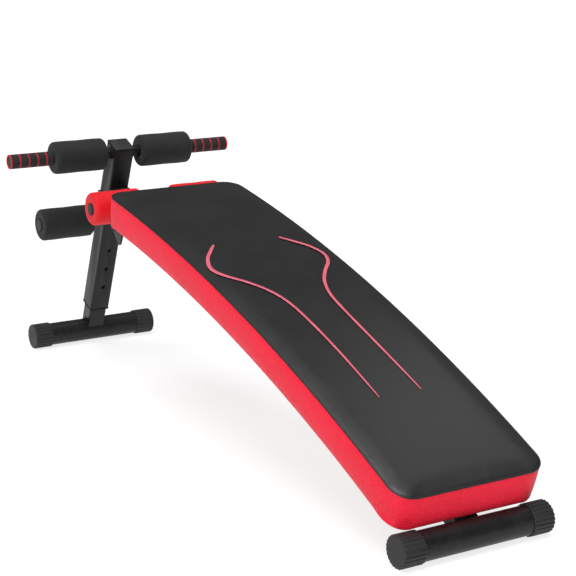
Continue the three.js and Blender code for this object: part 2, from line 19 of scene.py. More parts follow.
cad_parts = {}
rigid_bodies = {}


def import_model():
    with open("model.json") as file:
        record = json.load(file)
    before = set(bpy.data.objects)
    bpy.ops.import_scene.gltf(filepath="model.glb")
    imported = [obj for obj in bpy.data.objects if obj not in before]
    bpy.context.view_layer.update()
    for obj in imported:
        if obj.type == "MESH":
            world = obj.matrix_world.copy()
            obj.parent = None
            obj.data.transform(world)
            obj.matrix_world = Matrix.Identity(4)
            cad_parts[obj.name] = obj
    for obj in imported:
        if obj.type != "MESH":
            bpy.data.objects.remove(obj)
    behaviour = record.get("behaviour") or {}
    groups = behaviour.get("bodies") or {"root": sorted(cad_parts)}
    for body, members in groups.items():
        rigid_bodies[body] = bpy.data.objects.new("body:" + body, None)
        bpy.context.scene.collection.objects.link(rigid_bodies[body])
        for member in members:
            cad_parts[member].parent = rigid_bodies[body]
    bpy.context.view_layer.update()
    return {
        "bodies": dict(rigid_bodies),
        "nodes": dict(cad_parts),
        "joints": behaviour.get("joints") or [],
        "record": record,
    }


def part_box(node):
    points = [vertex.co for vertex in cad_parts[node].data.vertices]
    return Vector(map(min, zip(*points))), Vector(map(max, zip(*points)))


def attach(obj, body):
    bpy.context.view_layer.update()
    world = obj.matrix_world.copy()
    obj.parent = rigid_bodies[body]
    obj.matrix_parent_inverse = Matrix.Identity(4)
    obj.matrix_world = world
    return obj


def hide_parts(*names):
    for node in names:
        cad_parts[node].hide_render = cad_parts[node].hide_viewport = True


log = logging.getLogger("bench")
MM = 0.001


class Body(Enum):
    """The moving bodies that carry more than one piece."""

    BENCH = "bench"
    UPRIGHT = "upright"
    LEG = "leg"


class Slot(Enum):
    """The finishes, named as the record names them."""

    STEEL = "black_steel"
    PLASTIC = "black_plastic"
    FOAM = "black_foam"
    RED_FOAM = "red_foam"
    VINYL = "black_vinyl"
    RED_VINYL = "red_vinyl"
    PLYWOOD = "plywood"
    ZINC = "zinc"


class Side(Enum):
    """The two sides of the bench, as the sign of Y."""

    LEFT = -1
    RIGHT = 1

    @property
    def word(self) -> str:
        """Returns the side's name as the nodes end in it."""
        return self.name.lower()


# ---- Surfaces -----------------------------------------------------------------------------------


@dataclass
class Shape:
    """The corners and quads of a surface, with an optional UV place for each quad corner.

    Args:
        points: corner places, n by 3.
        quads: corner numbers, m by 4.
        corner_uv: UV places, m by 4 by 2, in metres.
    """

    points: np.ndarray
    quads: np.ndarray
    corner_uv: np.ndarray | None = None

    def joined(self, *others: "Shape") -> "Shape":
        """Puts several shapes side by side in one.

        Args:
            others: the shapes to add.

        Returns:
            One shape that holds them all, without UVs.
        """
        shapes = (self, *others)
        starts = np.cumsum([0] + [len(s.points) for s in shapes[:-1]])
        return Shape(
            np.vstack([s.points for s in shapes]),
            np.vstack([s.quads + start for s, start in zip(shapes, starts)]),
        )

    def turned_outwards(self, centre: np.ndarray) -> "Shape":
        """Turns the quads so that most of them face away from a point.

        Args:
            centre: the point that they face away from.

        Returns:
            The same surface, facing outwards.
        """
        a, b, c, d = (self.points[self.quads[:, k]] for k in range(4))
        normals = np.cross(c - a, d - b)
        facing = np.sum(normals * ((a + c) / 2 - centre))
        if facing >= 0:
            return self
        uv = None if self.corner_uv is None else self.corner_uv[:, ::-1]
        return Shape(self.points, self.quads[:, ::-1], uv)


def grid(points: np.ndarray, uv: np.ndarray | None = None, wrap: tuple[bool, bool] = (False, False)) -> Shape:
    """Joins a rows-by-columns array of points with quads.

    Args:
        points: rows by columns by 3.
        uv: UV places of the grid's nodes, with one more row or column where it wraps.
        wrap: whether the rows and the columns close on themselves.

    Returns:
        The surface.
    """
    rows, cols = points.shape[:2]
    i = np.arange(rows if wrap[0] else rows - 1)[:, None]
    j = np.arange(cols if wrap[1] else cols - 1)[None, :]
    near, far = (i + 0 * j, j + 0 * i), ((i + 1) % rows + 0 * j, (j + 1) % cols + 0 * i)
    corners = [(near[0], near[1]), (near[0], far[1]), (far[0], far[1]), (far[0], near[1])]
    quads = np.stack([a * cols + b for a, b in corners], -1).reshape(-1, 4)
    corner_uv = None
    if uv is not None:
        steps = [(0, 0), (0, 1), (1, 1), (1, 0)]
        corner_uv = np.stack([uv[i + di, j + dj] for di, dj in steps], 2).reshape(-1, 4, 2)
    return Shape(points.reshape(-1, 3), quads, corner_uv)


def arc(centre: tuple[float, float], radius: float, start: float, end: float, steps: int = 7) -> np.ndarray:
    """Gives points on a circle between two angles in degrees.

    Args:
        centre: the circle's centre.
        radius: its radius.
        start: the first angle.
        end: the last angle.
        steps: the number of points.

    Returns:
        The points, steps by 2.
    """
    turn = np.radians(np.linspace(start, end, steps))
    return np.stack([centre[0] + radius * np.cos(turn), centre[1] + radius * np.sin(turn)], 1)


def revolved(profile: np.ndarray, axis: np.ndarray, sides: int = 72) -> Shape:
    """Turns a closed profile of (radius, y) points about a line along Y through a point.

    A corner is (x + r cos t, y, z + r sin t) for the profile's r and y and the turn t.

    Args:
        profile: the (radius, y) points.
        axis: a point on the line; its y is added to the profile's.
        sides: the number of steps round.

    Returns:
        The surface.
    """
    turn = np.linspace(0, 2 * np.pi, sides, endpoint=False)[None, :]
    radius, y = profile[:, :1], profile[:, 1:]
    points = np.stack([
        axis[0] + radius * np.cos(turn), axis[1] + y + 0 * turn, axis[2] + radius * np.sin(turn)], -1)
    return grid(points, wrap=(True, True))


def round_path(path: np.ndarray, radius: np.ndarray, across: np.ndarray, upward: np.ndarray,
               sides: int = 12) -> Shape:
    """Carries a circle along a closed path.

    A corner is p + r (cos t a + sin t u), for the path's point p and its two cross directions a and u.

    Args:
        path: points along the path, n by 3.
        radius: the circle's radius at each point, n or one value.
        across: the first cross direction at each point.
        upward: the second cross direction at each point.
        sides: the number of steps round.

    Returns:
        The surface.
    """
    turn = np.linspace(0, 2 * np.pi, sides, endpoint=False)[None, :, None]
    reach = np.broadcast_to(radius, len(path))[:, None, None]
    ring = reach * (np.cos(turn) * across[:, None] + np.sin(turn) * upward[:, None])
    return grid(path[:, None] + ring, wrap=(True, True))


def make_object(name: str, shape: Shape, smooth_angle: float = 32.0, closed: bool = True) -> bpy.types.Object:
    """Puts a shape into a new mesh object at the origin.

    Args:
        name: the object's name.
        shape: its surface.
        smooth_angle: edges that turn more than this many degrees stay sharp.
        closed: whether poles are merged and normals recalculated.

    Returns:
        The object.
    """
    mesh = bpy.data.meshes.new(name)
    mesh.from_pydata(shape.points.tolist(), [], shape.quads.tolist())
    if shape.corner_uv is not None:
        layer = mesh.uv_layers.new(name="UVMap")
        layer.uv.foreach_set("vector", shape.corner_uv.astype(np.float32).ravel())
    if closed:
        work = bmesh.new()
        work.from_mesh(mesh)
        bmesh.ops.remove_doubles(work, verts=work.verts, dist=1e-6)
        bmesh.ops.recalc_face_normals(work, faces=work.faces)
        work.to_mesh(mesh)
        work.free()
    mesh.shade_smooth()
    mesh.set_sharp_from_angle(angle=math.radians(smooth_angle))
    made = bpy.data.objects.new(name, mesh)
    bpy.context.scene.collection.objects.link(made)
    return made


# ---- Materials ----------------------------------------------------------------------------------


class Wiring:
    """Adds and joins the nodes of one material or node group."""

    def __init__(self, tree: bpy.types.NodeTree) -> None:
        """Starts on a tree.

        Args:
            tree: the node tree that the nodes go in.
        """
        self.tree = tree

    def add(self, kind: str, **values: object) -> bpy.types.Node:
        """Adds a node and sets its properties and inputs.

        Args:
            kind: the node's type name, without its ShaderNode prefix.
            values: a property, or an input when the name starts with in_; spaces are underscores.

        Returns:
            The node.
        """
        node = self.tree.nodes.new(kind if kind.startswith("Node") else f"ShaderNode{kind}")
        for key, value in values.items():
            if not key.startswith("in_"):
                setattr(node, key, value)
                continue
            word = key[3:].replace("_", " ")
            socket = node.inputs[int(word)] if word.isdigit() else node.inputs[word]
            if isinstance(value, bpy.types.NodeSocket):
                self.tree.links.new(value, socket)
            else:
                socket.default_value = value
        return node

    def link(self, source: bpy.types.NodeSocket, target: bpy.types.NodeSocket) -> None:
        """Joins an output to an input."""
        self.tree.links.new(source, target)

    def math(self, operation: str, first: object, second: object = 0.5) -> bpy.types.NodeSocket:
        """Adds a Math node.

        Args:
            operation: the sum that it does.
            first: its first value or socket.
            second: its second value or socket.

        Returns:
            The result's socket.
        """
        return self.add("Math", operation=operation, in_0=first, in_1=second).outputs[0]

    def ramp(self, value: bpy.types.NodeSocket, low: float, high: float,
             to: tuple[float, float] = (0.0, 1.0)) -> bpy.types.NodeSocket:
        """Maps a value's range to another.

        Args:
            value: the socket to map.
            low: the value that gives the first end.
            high: the value that gives the last end.
            to: the two ends of the new range.

        Returns:
            The result's socket.
        """
        node = self.add("MapRange", in_0=value, in_1=low, in_2=high, in_3=to[0], in_4=to[1])
        return node.outputs[0]


def start_group(name: str, inputs: dict[str, tuple[str, object]], outputs: dict[str, str]) -> tuple:
    """Makes an empty shader node group with named sockets.

    Args:
        name: the group's name.
        inputs: each input's socket type and default value.
        outputs: each output's socket type.

    Returns:
        The group, its wiring, its input node and its output node.
    """
    group = bpy.data.node_groups.new(name, "ShaderNodeTree")
    for word, (kind, value) in inputs.items():
        socket = group.interface.new_socket(name=word, in_out="INPUT", socket_type=f"NodeSocket{kind}")
        if value is not None:
            socket.default_value = value
    for word, kind in outputs.items():
        group.interface.new_socket(name=word, in_out="OUTPUT", socket_type=f"NodeSocket{kind}")
    wiring = Wiring(group)
    return group, wiring, wiring.add("NodeGroupInput"), wiring.add("NodeGroupOutput")


def mottle_group() -> bpy.types.NodeTree:
    """Makes the group that varies a colour and a roughness slowly over a surface.

    Returns:
        A group whose Color runs between two colours and whose Roughness runs between two values.
    """
    group, wiring, given, out = start_group(
        "slow_variation",
        {"Vector": ("Vector", None), "Scale": ("Float", 20.0), "Dark": ("Color", (0, 0, 0, 1)),
         "Light": ("Color", (1, 1, 1, 1)), "Smooth": ("Float", 0.4), "Rough": ("Float", 0.6)},
        {"Color": "Color", "Roughness": "Float"})
    vector, scale = given.outputs["Vector"], given.outputs["Scale"]
    broad = wiring.add("TexNoise", in_Vector=vector, in_Scale=scale, in_Detail=4.0, in_Roughness=0.55)
    fine_scale = wiring.math("MULTIPLY", scale, 14.0)
    fine = wiring.add("TexNoise", in_Vector=vector, in_Scale=fine_scale, in_Detail=2.0)
    both = wiring.math("ADD", wiring.math("MULTIPLY", broad.outputs["Fac"], 0.7),
                       wiring.math("MULTIPLY", fine.outputs["Fac"], 0.3))
    part = wiring.ramp(both, 0.35, 0.65)
    mixed = wiring.add("Mix", data_type="RGBA", in_0=part)
    wiring.link(given.outputs["Dark"], mixed.inputs[6])
    wiring.link(given.outputs["Light"], mixed.inputs[7])
    rough = wiring.add("Mix", data_type="FLOAT", in_0=part, in_2=given.outputs["Smooth"],
                       in_3=given.outputs["Rough"])
    wiring.link(mixed.outputs[2], out.inputs["Color"])
    wiring.link(rough.outputs[0], out.inputs["Roughness"])
    return group


def pebble_group() -> bpy.types.NodeTree:
    """Makes the group for embossed pebble grain: rounded cells with creases between them.

    Returns:
        A group that puts out the grain's Height and a Crease mask.
    """
    group, wiring, given, out = start_group(
        "pebble_grain",
        {"Vector": ("Vector", None), "Scale": ("Float", 600.0)},
        {"Height": "Float", "Crease": "Float"})
    vector, scale = given.outputs["Vector"], given.outputs["Scale"]
    cells = wiring.add("TexVoronoi", feature="SMOOTH_F1", in_Vector=vector, in_Scale=scale,
                       in_Smoothness=0.35)
    rough_scale = wiring.math("MULTIPLY", scale, 2.5)
    rough = wiring.add("TexNoise", in_Vector=vector, in_Scale=rough_scale, in_Detail=2.0)
    fine = wiring.math("MULTIPLY", rough.outputs["Fac"], 0.25)
    height = wiring.math("SUBTRACT", fine, cells.outputs["Distance"])
    wiring.link(height, out.inputs["Height"])
    wiring.link(wiring.ramp(cells.outputs["Distance"], 0.45, 0.75), out.inputs["Crease"])
    return group


def pore_group() -> bpy.types.NodeTree:
    """Makes the group for closed-cell foam: a fine skin with scattered open pores.

    Returns:
        A group that puts out the skin's Height and a Pore mask.
    """
    group, wiring, given, out = start_group(
        "foam_skin",
        {"Vector": ("Vector", None), "Scale": ("Float", 700.0)},
        {"Height": "Float", "Pore": "Float"})
    vector, scale = given.outputs["Vector"], given.outputs["Scale"]
    cells = wiring.add("TexVoronoi", feature="F1", in_Vector=vector, in_Scale=scale)
    pores = wiring.ramp(cells.outputs["Distance"], 0.12, 0.32, (1.0, 0.0))
    waves_scale = wiring.math("MULTIPLY", scale, 0.2)
    waves = wiring.add("TexNoise", in_Vector=vector, in_Scale=waves_scale, in_Detail=5.0)
    height = wiring.math("SUBTRACT", waves.outputs["Fac"], wiring.math("MULTIPLY", pores, 0.6))
    wiring.link(height, out.inputs["Height"])
    wiring.link(pores, out.inputs["Pore"])
    return group


def edge_group() -> bpy.types.NodeTree:
    """Makes the group that finds a surface's outer edges, broken up by noise, for paler edges that are partly
    wear and partly a painted highlight.

    Returns:
        A group that puts out a mask for the edges' wear and painted highlight.
    """
    group, wiring, given, out = start_group(
        "edge_wear",
        {"Vector": ("Vector", None), "Scale": ("Float", 120.0), "Amount": ("Float", 0.5)},
        {"Worn": "Float"})
    vector, scale = given.outputs["Vector"], given.outputs["Scale"]
    sharpness = wiring.add("NewGeometry").outputs["Pointiness"]
    # Convex edges, marked here for a paler colour that is partly wear and partly a painted highlight.
    edges = wiring.ramp(sharpness, 0.52, 0.60)
    breaks = wiring.add("TexNoise", in_Vector=vector, in_Scale=scale, in_Detail=4.0)
    broken = wiring.math("MULTIPLY", edges, wiring.ramp(breaks.outputs["Fac"], 0.40, 0.62))
    wiring.link(wiring.math("MULTIPLY", broken, given.outputs["Amount"]), out.inputs["Worn"])
    return group


@dataclass
class Batch:
    """A material in the making: a Principled shader over a slow variation of colour and roughness.

    Args:
        material: the material.
        wiring: its wiring.
        shader: its shader.
        place: the coordinates' socket that its textures use.
        mottle: the node of the slow variation.
    """

    material: bpy.types.Material
    wiring: Wiring
    shader: bpy.types.Node
    place: bpy.types.NodeSocket
    mottle: bpy.types.Node

    def noise(self, scale: float, detail: float) -> bpy.types.NodeSocket:
        """Adds fine noise and gives its value's socket."""
        node = self.wiring.add("TexNoise", in_Vector=self.place, in_Scale=scale, in_Detail=detail)
        return node.outputs["Fac"]

    def overlay(self, mask: bpy.types.NodeSocket, colour: Iterable[float]) -> None:
        """Lays a plain colour over the variation where a mask says so.

        Args:
            mask: the share of the plain colour.
            colour: its red, green and blue.
        """
        mixed = self.wiring.add("Mix", data_type="RGBA", in_0=mask)
        self.wiring.link(self.mottle.outputs["Color"], mixed.inputs[6])
        mixed.inputs[7].default_value = (*colour, 1)
        self.wiring.link(mixed.outputs[2], self.shader.inputs["Base Color"])

    def bump(self, height: bpy.types.NodeSocket, depth: float, strength: float) -> None:
        """Joins a height to the shader's normal through a Bump node.

        Args:
            height: the height's socket.
            depth: the distance that a height of one stands for, in metres.
            strength: the bump's strength.
        """
        node = self.wiring.add("Bump", in_Height=height, in_Distance=depth, in_Strength=strength)
        self.wiring.link(node.outputs[0], self.shader.inputs["Normal"])


@dataclass
class Finishes:
    """Builds each finish once and hands out its material.

    Args:
        groups: the shared node groups by short name.
        made: the materials by slot.
    """

    groups: dict[str, bpy.types.NodeTree] = field(default_factory=dict)
    made: dict[Slot, bpy.types.Material] = field(default_factory=dict)

    def __post_init__(self) -> None:
        """Makes the shared groups and the eight materials."""
        self.groups = {
            "mottle": mottle_group(), "pebble": pebble_group(), "pores": pore_group(), "edges": edge_group()}
        self.made = {
            Slot.STEEL: self.powder_coat(),
            Slot.PLASTIC: self.moulded_plastic(),
            Slot.FOAM: self.foam("black_foam", (0.0095, 0.0102, 0.0105), (0.017, 0.018, 0.0185), 0.80),
            Slot.RED_FOAM: self.foam("red_foam", (0.56, 0.0012, 0.006), (0.70, 0.0025, 0.011), 0.62),
            Slot.VINYL: self.black_leathercloth(),
            Slot.RED_VINYL: self.red_leathercloth(),
            Slot.PLYWOOD: self.plywood(),
            Slot.ZINC: self.zinc_plate(),
        }

    def grouped(self, wiring: Wiring, key: str, **values: object) -> bpy.types.Node:
        """Places a shared group in a material.

        Args:
            wiring: the material's wiring.
            key: the group's short name.
            values: its inputs, each named in_ and the socket's name.

        Returns:
            The group node.
        """
        return wiring.add("Group", node_tree=self.groups[key], **values)

    def mottled(self, name: str, scale: float, dark: tuple, light: tuple, rough: tuple[float, float],
                stretch: tuple | None = None, **constants: float) -> Batch:
        """Starts a material whose colour and roughness vary slowly.

        Args:
            name: the material's name.
            scale: the variation's scale.
            dark: its darker colour.
            light: its lighter colour.
            rough: its lowest and highest roughness.
            stretch: the factors on the coordinates, if they are stretched.
            constants: values set on the shader's own sockets, with underscores for spaces.

        Returns:
            The material in the making.
        """
        material = bpy.data.materials.new(name)
        material.use_nodes = True
        wiring = Wiring(material.node_tree)
        shader = material.node_tree.nodes["Principled BSDF"]
        for key, value in constants.items():
            shader.inputs[key.replace("_", " ")].default_value = value
        place = wiring.add("TexCoord").outputs["Object"]
        if stretch:
            place = wiring.add("Mapping", in_Vector=place, in_Scale=stretch).outputs[0]
        mottle = self.grouped(wiring, "mottle", in_Vector=place, in_Scale=scale, in_Dark=(*dark, 1),
                              in_Light=(*light, 1), in_Smooth=rough[0], in_Rough=rough[1])
        wiring.link(mottle.outputs["Color"], shader.inputs["Base Color"])
        wiring.link(mottle.outputs["Roughness"], shader.inputs["Roughness"])
        return Batch(material, wiring, shader, place, mottle)

    def edge_worn(self, batch: Batch, scale: float, amount: float, colour: tuple) -> None:
        """Lays a paler colour over a material's outer edges: partly wear, partly a painted highlight."""
        wear_and_highlight = self.grouped(batch.wiring, "edges", in_Vector=batch.place, in_Scale=scale, in_Amount=amount)
        # The paler edge colour is partly wear and partly a painted highlight.
        batch.overlay(wear_and_highlight.outputs["Worn"], colour)

    def powder_coat(self) -> bpy.types.Material:
        """Makes black satin powder coat: fine orange peel, and paler edges that are partly wear and partly a
        painted highlight.

        Returns:
            The material.
        """
        batch = self.mottled("black_powder_coat", 26.0, (0.0055, 0.0057, 0.0062), (0.0085, 0.0088, 0.0095),
                             (0.34, 0.46), Specular_IOR_Level=0.26)
        # Paler grey on the outer edges: partly wear, partly a painted highlight.
        self.edge_worn(batch, 160.0, 0.35, (0.055, 0.056, 0.058))
        batch.bump(batch.noise(850.0, 1.5), 0.00012, 0.5)
        return batch.material

    def moulded_plastic(self) -> bpy.types.Material:
        """Makes black moulded plastic with a spark-eroded texture.

        Returns:
            The material.
        """
        batch = self.mottled("black_moulded_plastic", 40.0, (0.010, 0.0103, 0.011), (0.018, 0.0185, 0.020),
                             (0.46, 0.62), Specular_IOR_Level=0.34)
        # Paler grey on the outer edges: partly wear, partly a painted highlight.
        self.edge_worn(batch, 220.0, 0.3, (0.07, 0.071, 0.073))
        batch.bump(batch.noise(1600.0, 2.0), 0.00015, 0.5)
        return batch.material

    def foam(self, name: str, dark: tuple, light: tuple, rough: float) -> bpy.types.Material:
        """Makes matte closed-cell foam with fine pores, which are painted darker as painted shade.

        Args:
            name: the material's name.
            dark: its darker colour.
            light: its lighter colour.
            rough: its roughness.

        Returns:
            The material.
        """
        batch = self.mottled(name, 60.0, dark, light, (rough - 0.06, rough + 0.08),
                             Specular_IOR_Level=0.25, Sheen_Weight=0.06, Sheen_Roughness=0.5)
        skin = self.grouped(batch.wiring, "pores", in_Vector=batch.place, in_Scale=620.0)
        # The open pores get a darker copy of the foam colour: painted shade in the pores.
        depth = 0.45
        pores = batch.wiring.math("MULTIPLY", skin.outputs["Pore"], depth)
        batch.overlay(pores, (depth * np.array(dark)).tolist())
        batch.bump(skin.outputs["Height"], 0.0005, 0.55)
        return batch.material

    def black_leathercloth(self) -> bpy.types.Material:
        """Makes the pad's black leathercloth: very fine grain and a soft sheen.

        Returns:
            The material.
        """
        batch = self.mottled("black_leathercloth", 9.0, (0.0066, 0.0068, 0.0070), (0.0096, 0.0098, 0.010),
                             (0.40, 0.47), Specular_IOR_Level=0.42)
        grain = self.grouped(batch.wiring, "pebble", in_Vector=batch.place, in_Scale=1100.0)
        batch.bump(grain.outputs["Height"], 0.00012, 0.35)
        return batch.material

    def red_leathercloth(self) -> bpy.types.Material:
        """Makes the wall's red leathercloth: fine embossed rows that follow the wall, over pebble grain, with
        painted shade in the grain's creases and the rows' valleys.

        Returns:
            The material.
        """
        batch = self.mottled("red_leathercloth", 14.0, (0.80, 0.007, 0.034), (0.90, 0.012, 0.048),
                             (0.46, 0.56), Specular_IOR_Level=0.25, Sheen_Weight=0.03, Sheen_Roughness=0.4)
        wiring = batch.wiring
        along = wiring.add("UVMap", uv_map="UVMap").outputs[0]
        wave = wiring.add("TexWave", wave_type="BANDS", bands_direction="Y", wave_profile="SIN",
                          in_Vector=along, in_Scale=105.0, in_Distortion=1.6, in_Detail=2.0,
                          in_Detail_Scale=2.2)
        rows = wave.outputs["Fac"]
        grain = self.grouped(wiring, "pebble", in_Vector=batch.place, in_Scale=520.0)
        # The rows' valleys and the grain's creases are painted a darker red: painted shade in these recesses.
        valley_shade = wiring.math("MULTIPLY", wiring.math("SUBTRACT", 1.0, rows), 0.22)
        crease_shade = wiring.math("MULTIPLY", grain.outputs["Crease"], 0.30)
        batch.overlay(wiring.math("ADD", crease_shade, valley_shade), (0.52, 0.002, 0.012))
        height = wiring.math("ADD", wiring.math("MULTIPLY", rows, 0.5), grain.outputs["Height"])
        batch.bump(height, 0.0008, 0.8)
        return batch.material

    def plywood(self) -> bpy.types.Material:
        """Makes birch plywood with its grain stretched along the board.

        Returns:
            The material.
        """
        batch = self.mottled("birch_plywood", 2.0, (0.33, 0.19, 0.09), (0.52, 0.34, 0.18), (0.65, 0.8),
                             stretch=(3.0, 60.0, 60.0), Specular_IOR_Level=0.3)
        grain = batch.wiring.add("TexNoise", in_Vector=batch.place, in_Scale=4.0, in_Detail=6.0,
                                 in_Distortion=0.6)
        batch.bump(grain.outputs["Fac"], 0.0003, 0.5)
        return batch.material

    def zinc_plate(self) -> bpy.types.Material:
        """Makes bright zinc plate with faint drawing lines.

        Returns:
            The material.
        """
        batch = self.mottled("bright_zinc", 90.0, (0.42, 0.43, 0.45), (0.62, 0.63, 0.65), (0.26, 0.42),
                             Metallic=1.0)
        batch.bump(batch.noise(900.0, 2.0), 0.0001, 0.4)
        return batch.material

    def line_print(self) -> bpy.types.Material:
        """Makes the dusty pink of the two welded lines on the pad.

        Returns:
            The material.
        """
        return self.mottled("dusty_pink_print", 30.0, (0.52, 0.085, 0.125), (0.62, 0.125, 0.17), (0.45, 0.55),
                            Specular_IOR_Level=0.4).material


# ---- Shared workshop ------------------------------------------------------------------------------


@dataclass
class Workshop:
    """What every sub-assembly needs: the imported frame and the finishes.

    Args:
        finishes: the materials.
        replaced: the CAD nodes that a new piece stands for.
    """

    frame: dict
    finishes: Finishes
    replaced: set[str] = field(default_factory=set)

    def dress(self, piece: bpy.types.Object, body: str, slot: Slot, replaces: Iterable[str] = (),
              material: bpy.types.Material | None = None) -> bpy.types.Object:
        """Gives a piece its material, its body and the nodes it stands for; the slot picks the material and
        is logged.

        Args:
            piece: the new piece.
            body: the body that it rides on.
            slot: its finish.
            replaces: the CAD nodes that it replaces.
            material: a material other than the finish's own.

        Returns:
            The piece.
        """
        piece.data.materials.clear()
        piece.data.materials.append(material or self.finishes.made[slot])
        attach(piece, body)
        nodes = list(replaces)
        if nodes:
            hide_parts(*nodes)
            self.replaced.update(nodes)
        log.info("%s rides on %s in %s", piece.name, body, slot.value)
        return piece

    def centre(self, node: str) -> np.ndarray:
        """Gives the middle of a node's box.

        Args:
            node: the node's name.

        Returns:
            The middle, as x, y and z.
        """
        return np.mean(np.array(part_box(node)), axis=0)

    def box(self, node: str) -> np.ndarray:
        """Gives a node's lowest and highest corners as a 2 by 3 array."""
        return np.array(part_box(node))

    def eased_copy(self, node: str, name: str, edge: float,
                   long_edge: float | None = None) -> bpy.types.Object:
        """Copies a CAD node and rounds its edges.

        Sharp edges get a three-step round of the given size; the long outer edges may get a larger one first.

        Args:
            node: the CAD node.
            name: the new piece's name.
            edge: the round's size.
            long_edge: the size of the round on long outer edges.

        Returns:
            The copy, at the origin.
        """
        mesh = self.frame["nodes"][node].data.copy()
        mesh.name = name
        work = bmesh.new()
        work.from_mesh(mesh)
        bmesh.ops.remove_doubles(work, verts=work.verts, dist=1e-5)
        bmesh.ops.dissolve_limit(work, angle_limit=math.radians(1.0), verts=work.verts, edges=work.edges)
        if long_edge is not None:
            ease_edges(work, long_edge, shortest=0.03, outer_only=True, clamp=False)
        ease_edges(work, edge, shortest=0.0, outer_only=False, clamp=True)
        bmesh.ops.recalc_face_normals(work, faces=work.faces)
        work.to_mesh(mesh)
        work.free()
        mesh.shade_smooth()
        mesh.set_sharp_from_angle(angle=math.radians(38))
        piece = bpy.data.objects.new(name, mesh)
        bpy.context.scene.collection.objects.link(piece)
        return piece


def ease_edges(work: bmesh.types.BMesh, size: float, shortest: float, outer_only: bool, clamp: bool) -> None:
    """Rounds the sharp edges of a mesh.

    Args:
        work: the mesh.
        size: the round's size.
        shortest: edges shorter than this are left.
        outer_only: whether inner corners are left.
        clamp: whether rounds stop before they overlap.
    """
    edges = [
        e for e in work.edges
        if len(e.link_faces) == 2 and e.calc_length() > shortest and e.calc_face_angle(0.0) > math.radians(35)
        and (e.is_convex or not outer_only)
    ]
    if edges:
        bmesh.ops.bevel(work, geom=edges, offset=size, segments=3, profile=0.5, affect="EDGES",
                        clamp_overlap=clamp)


# ---- Pad ----------------------------------------------------------------------------------------


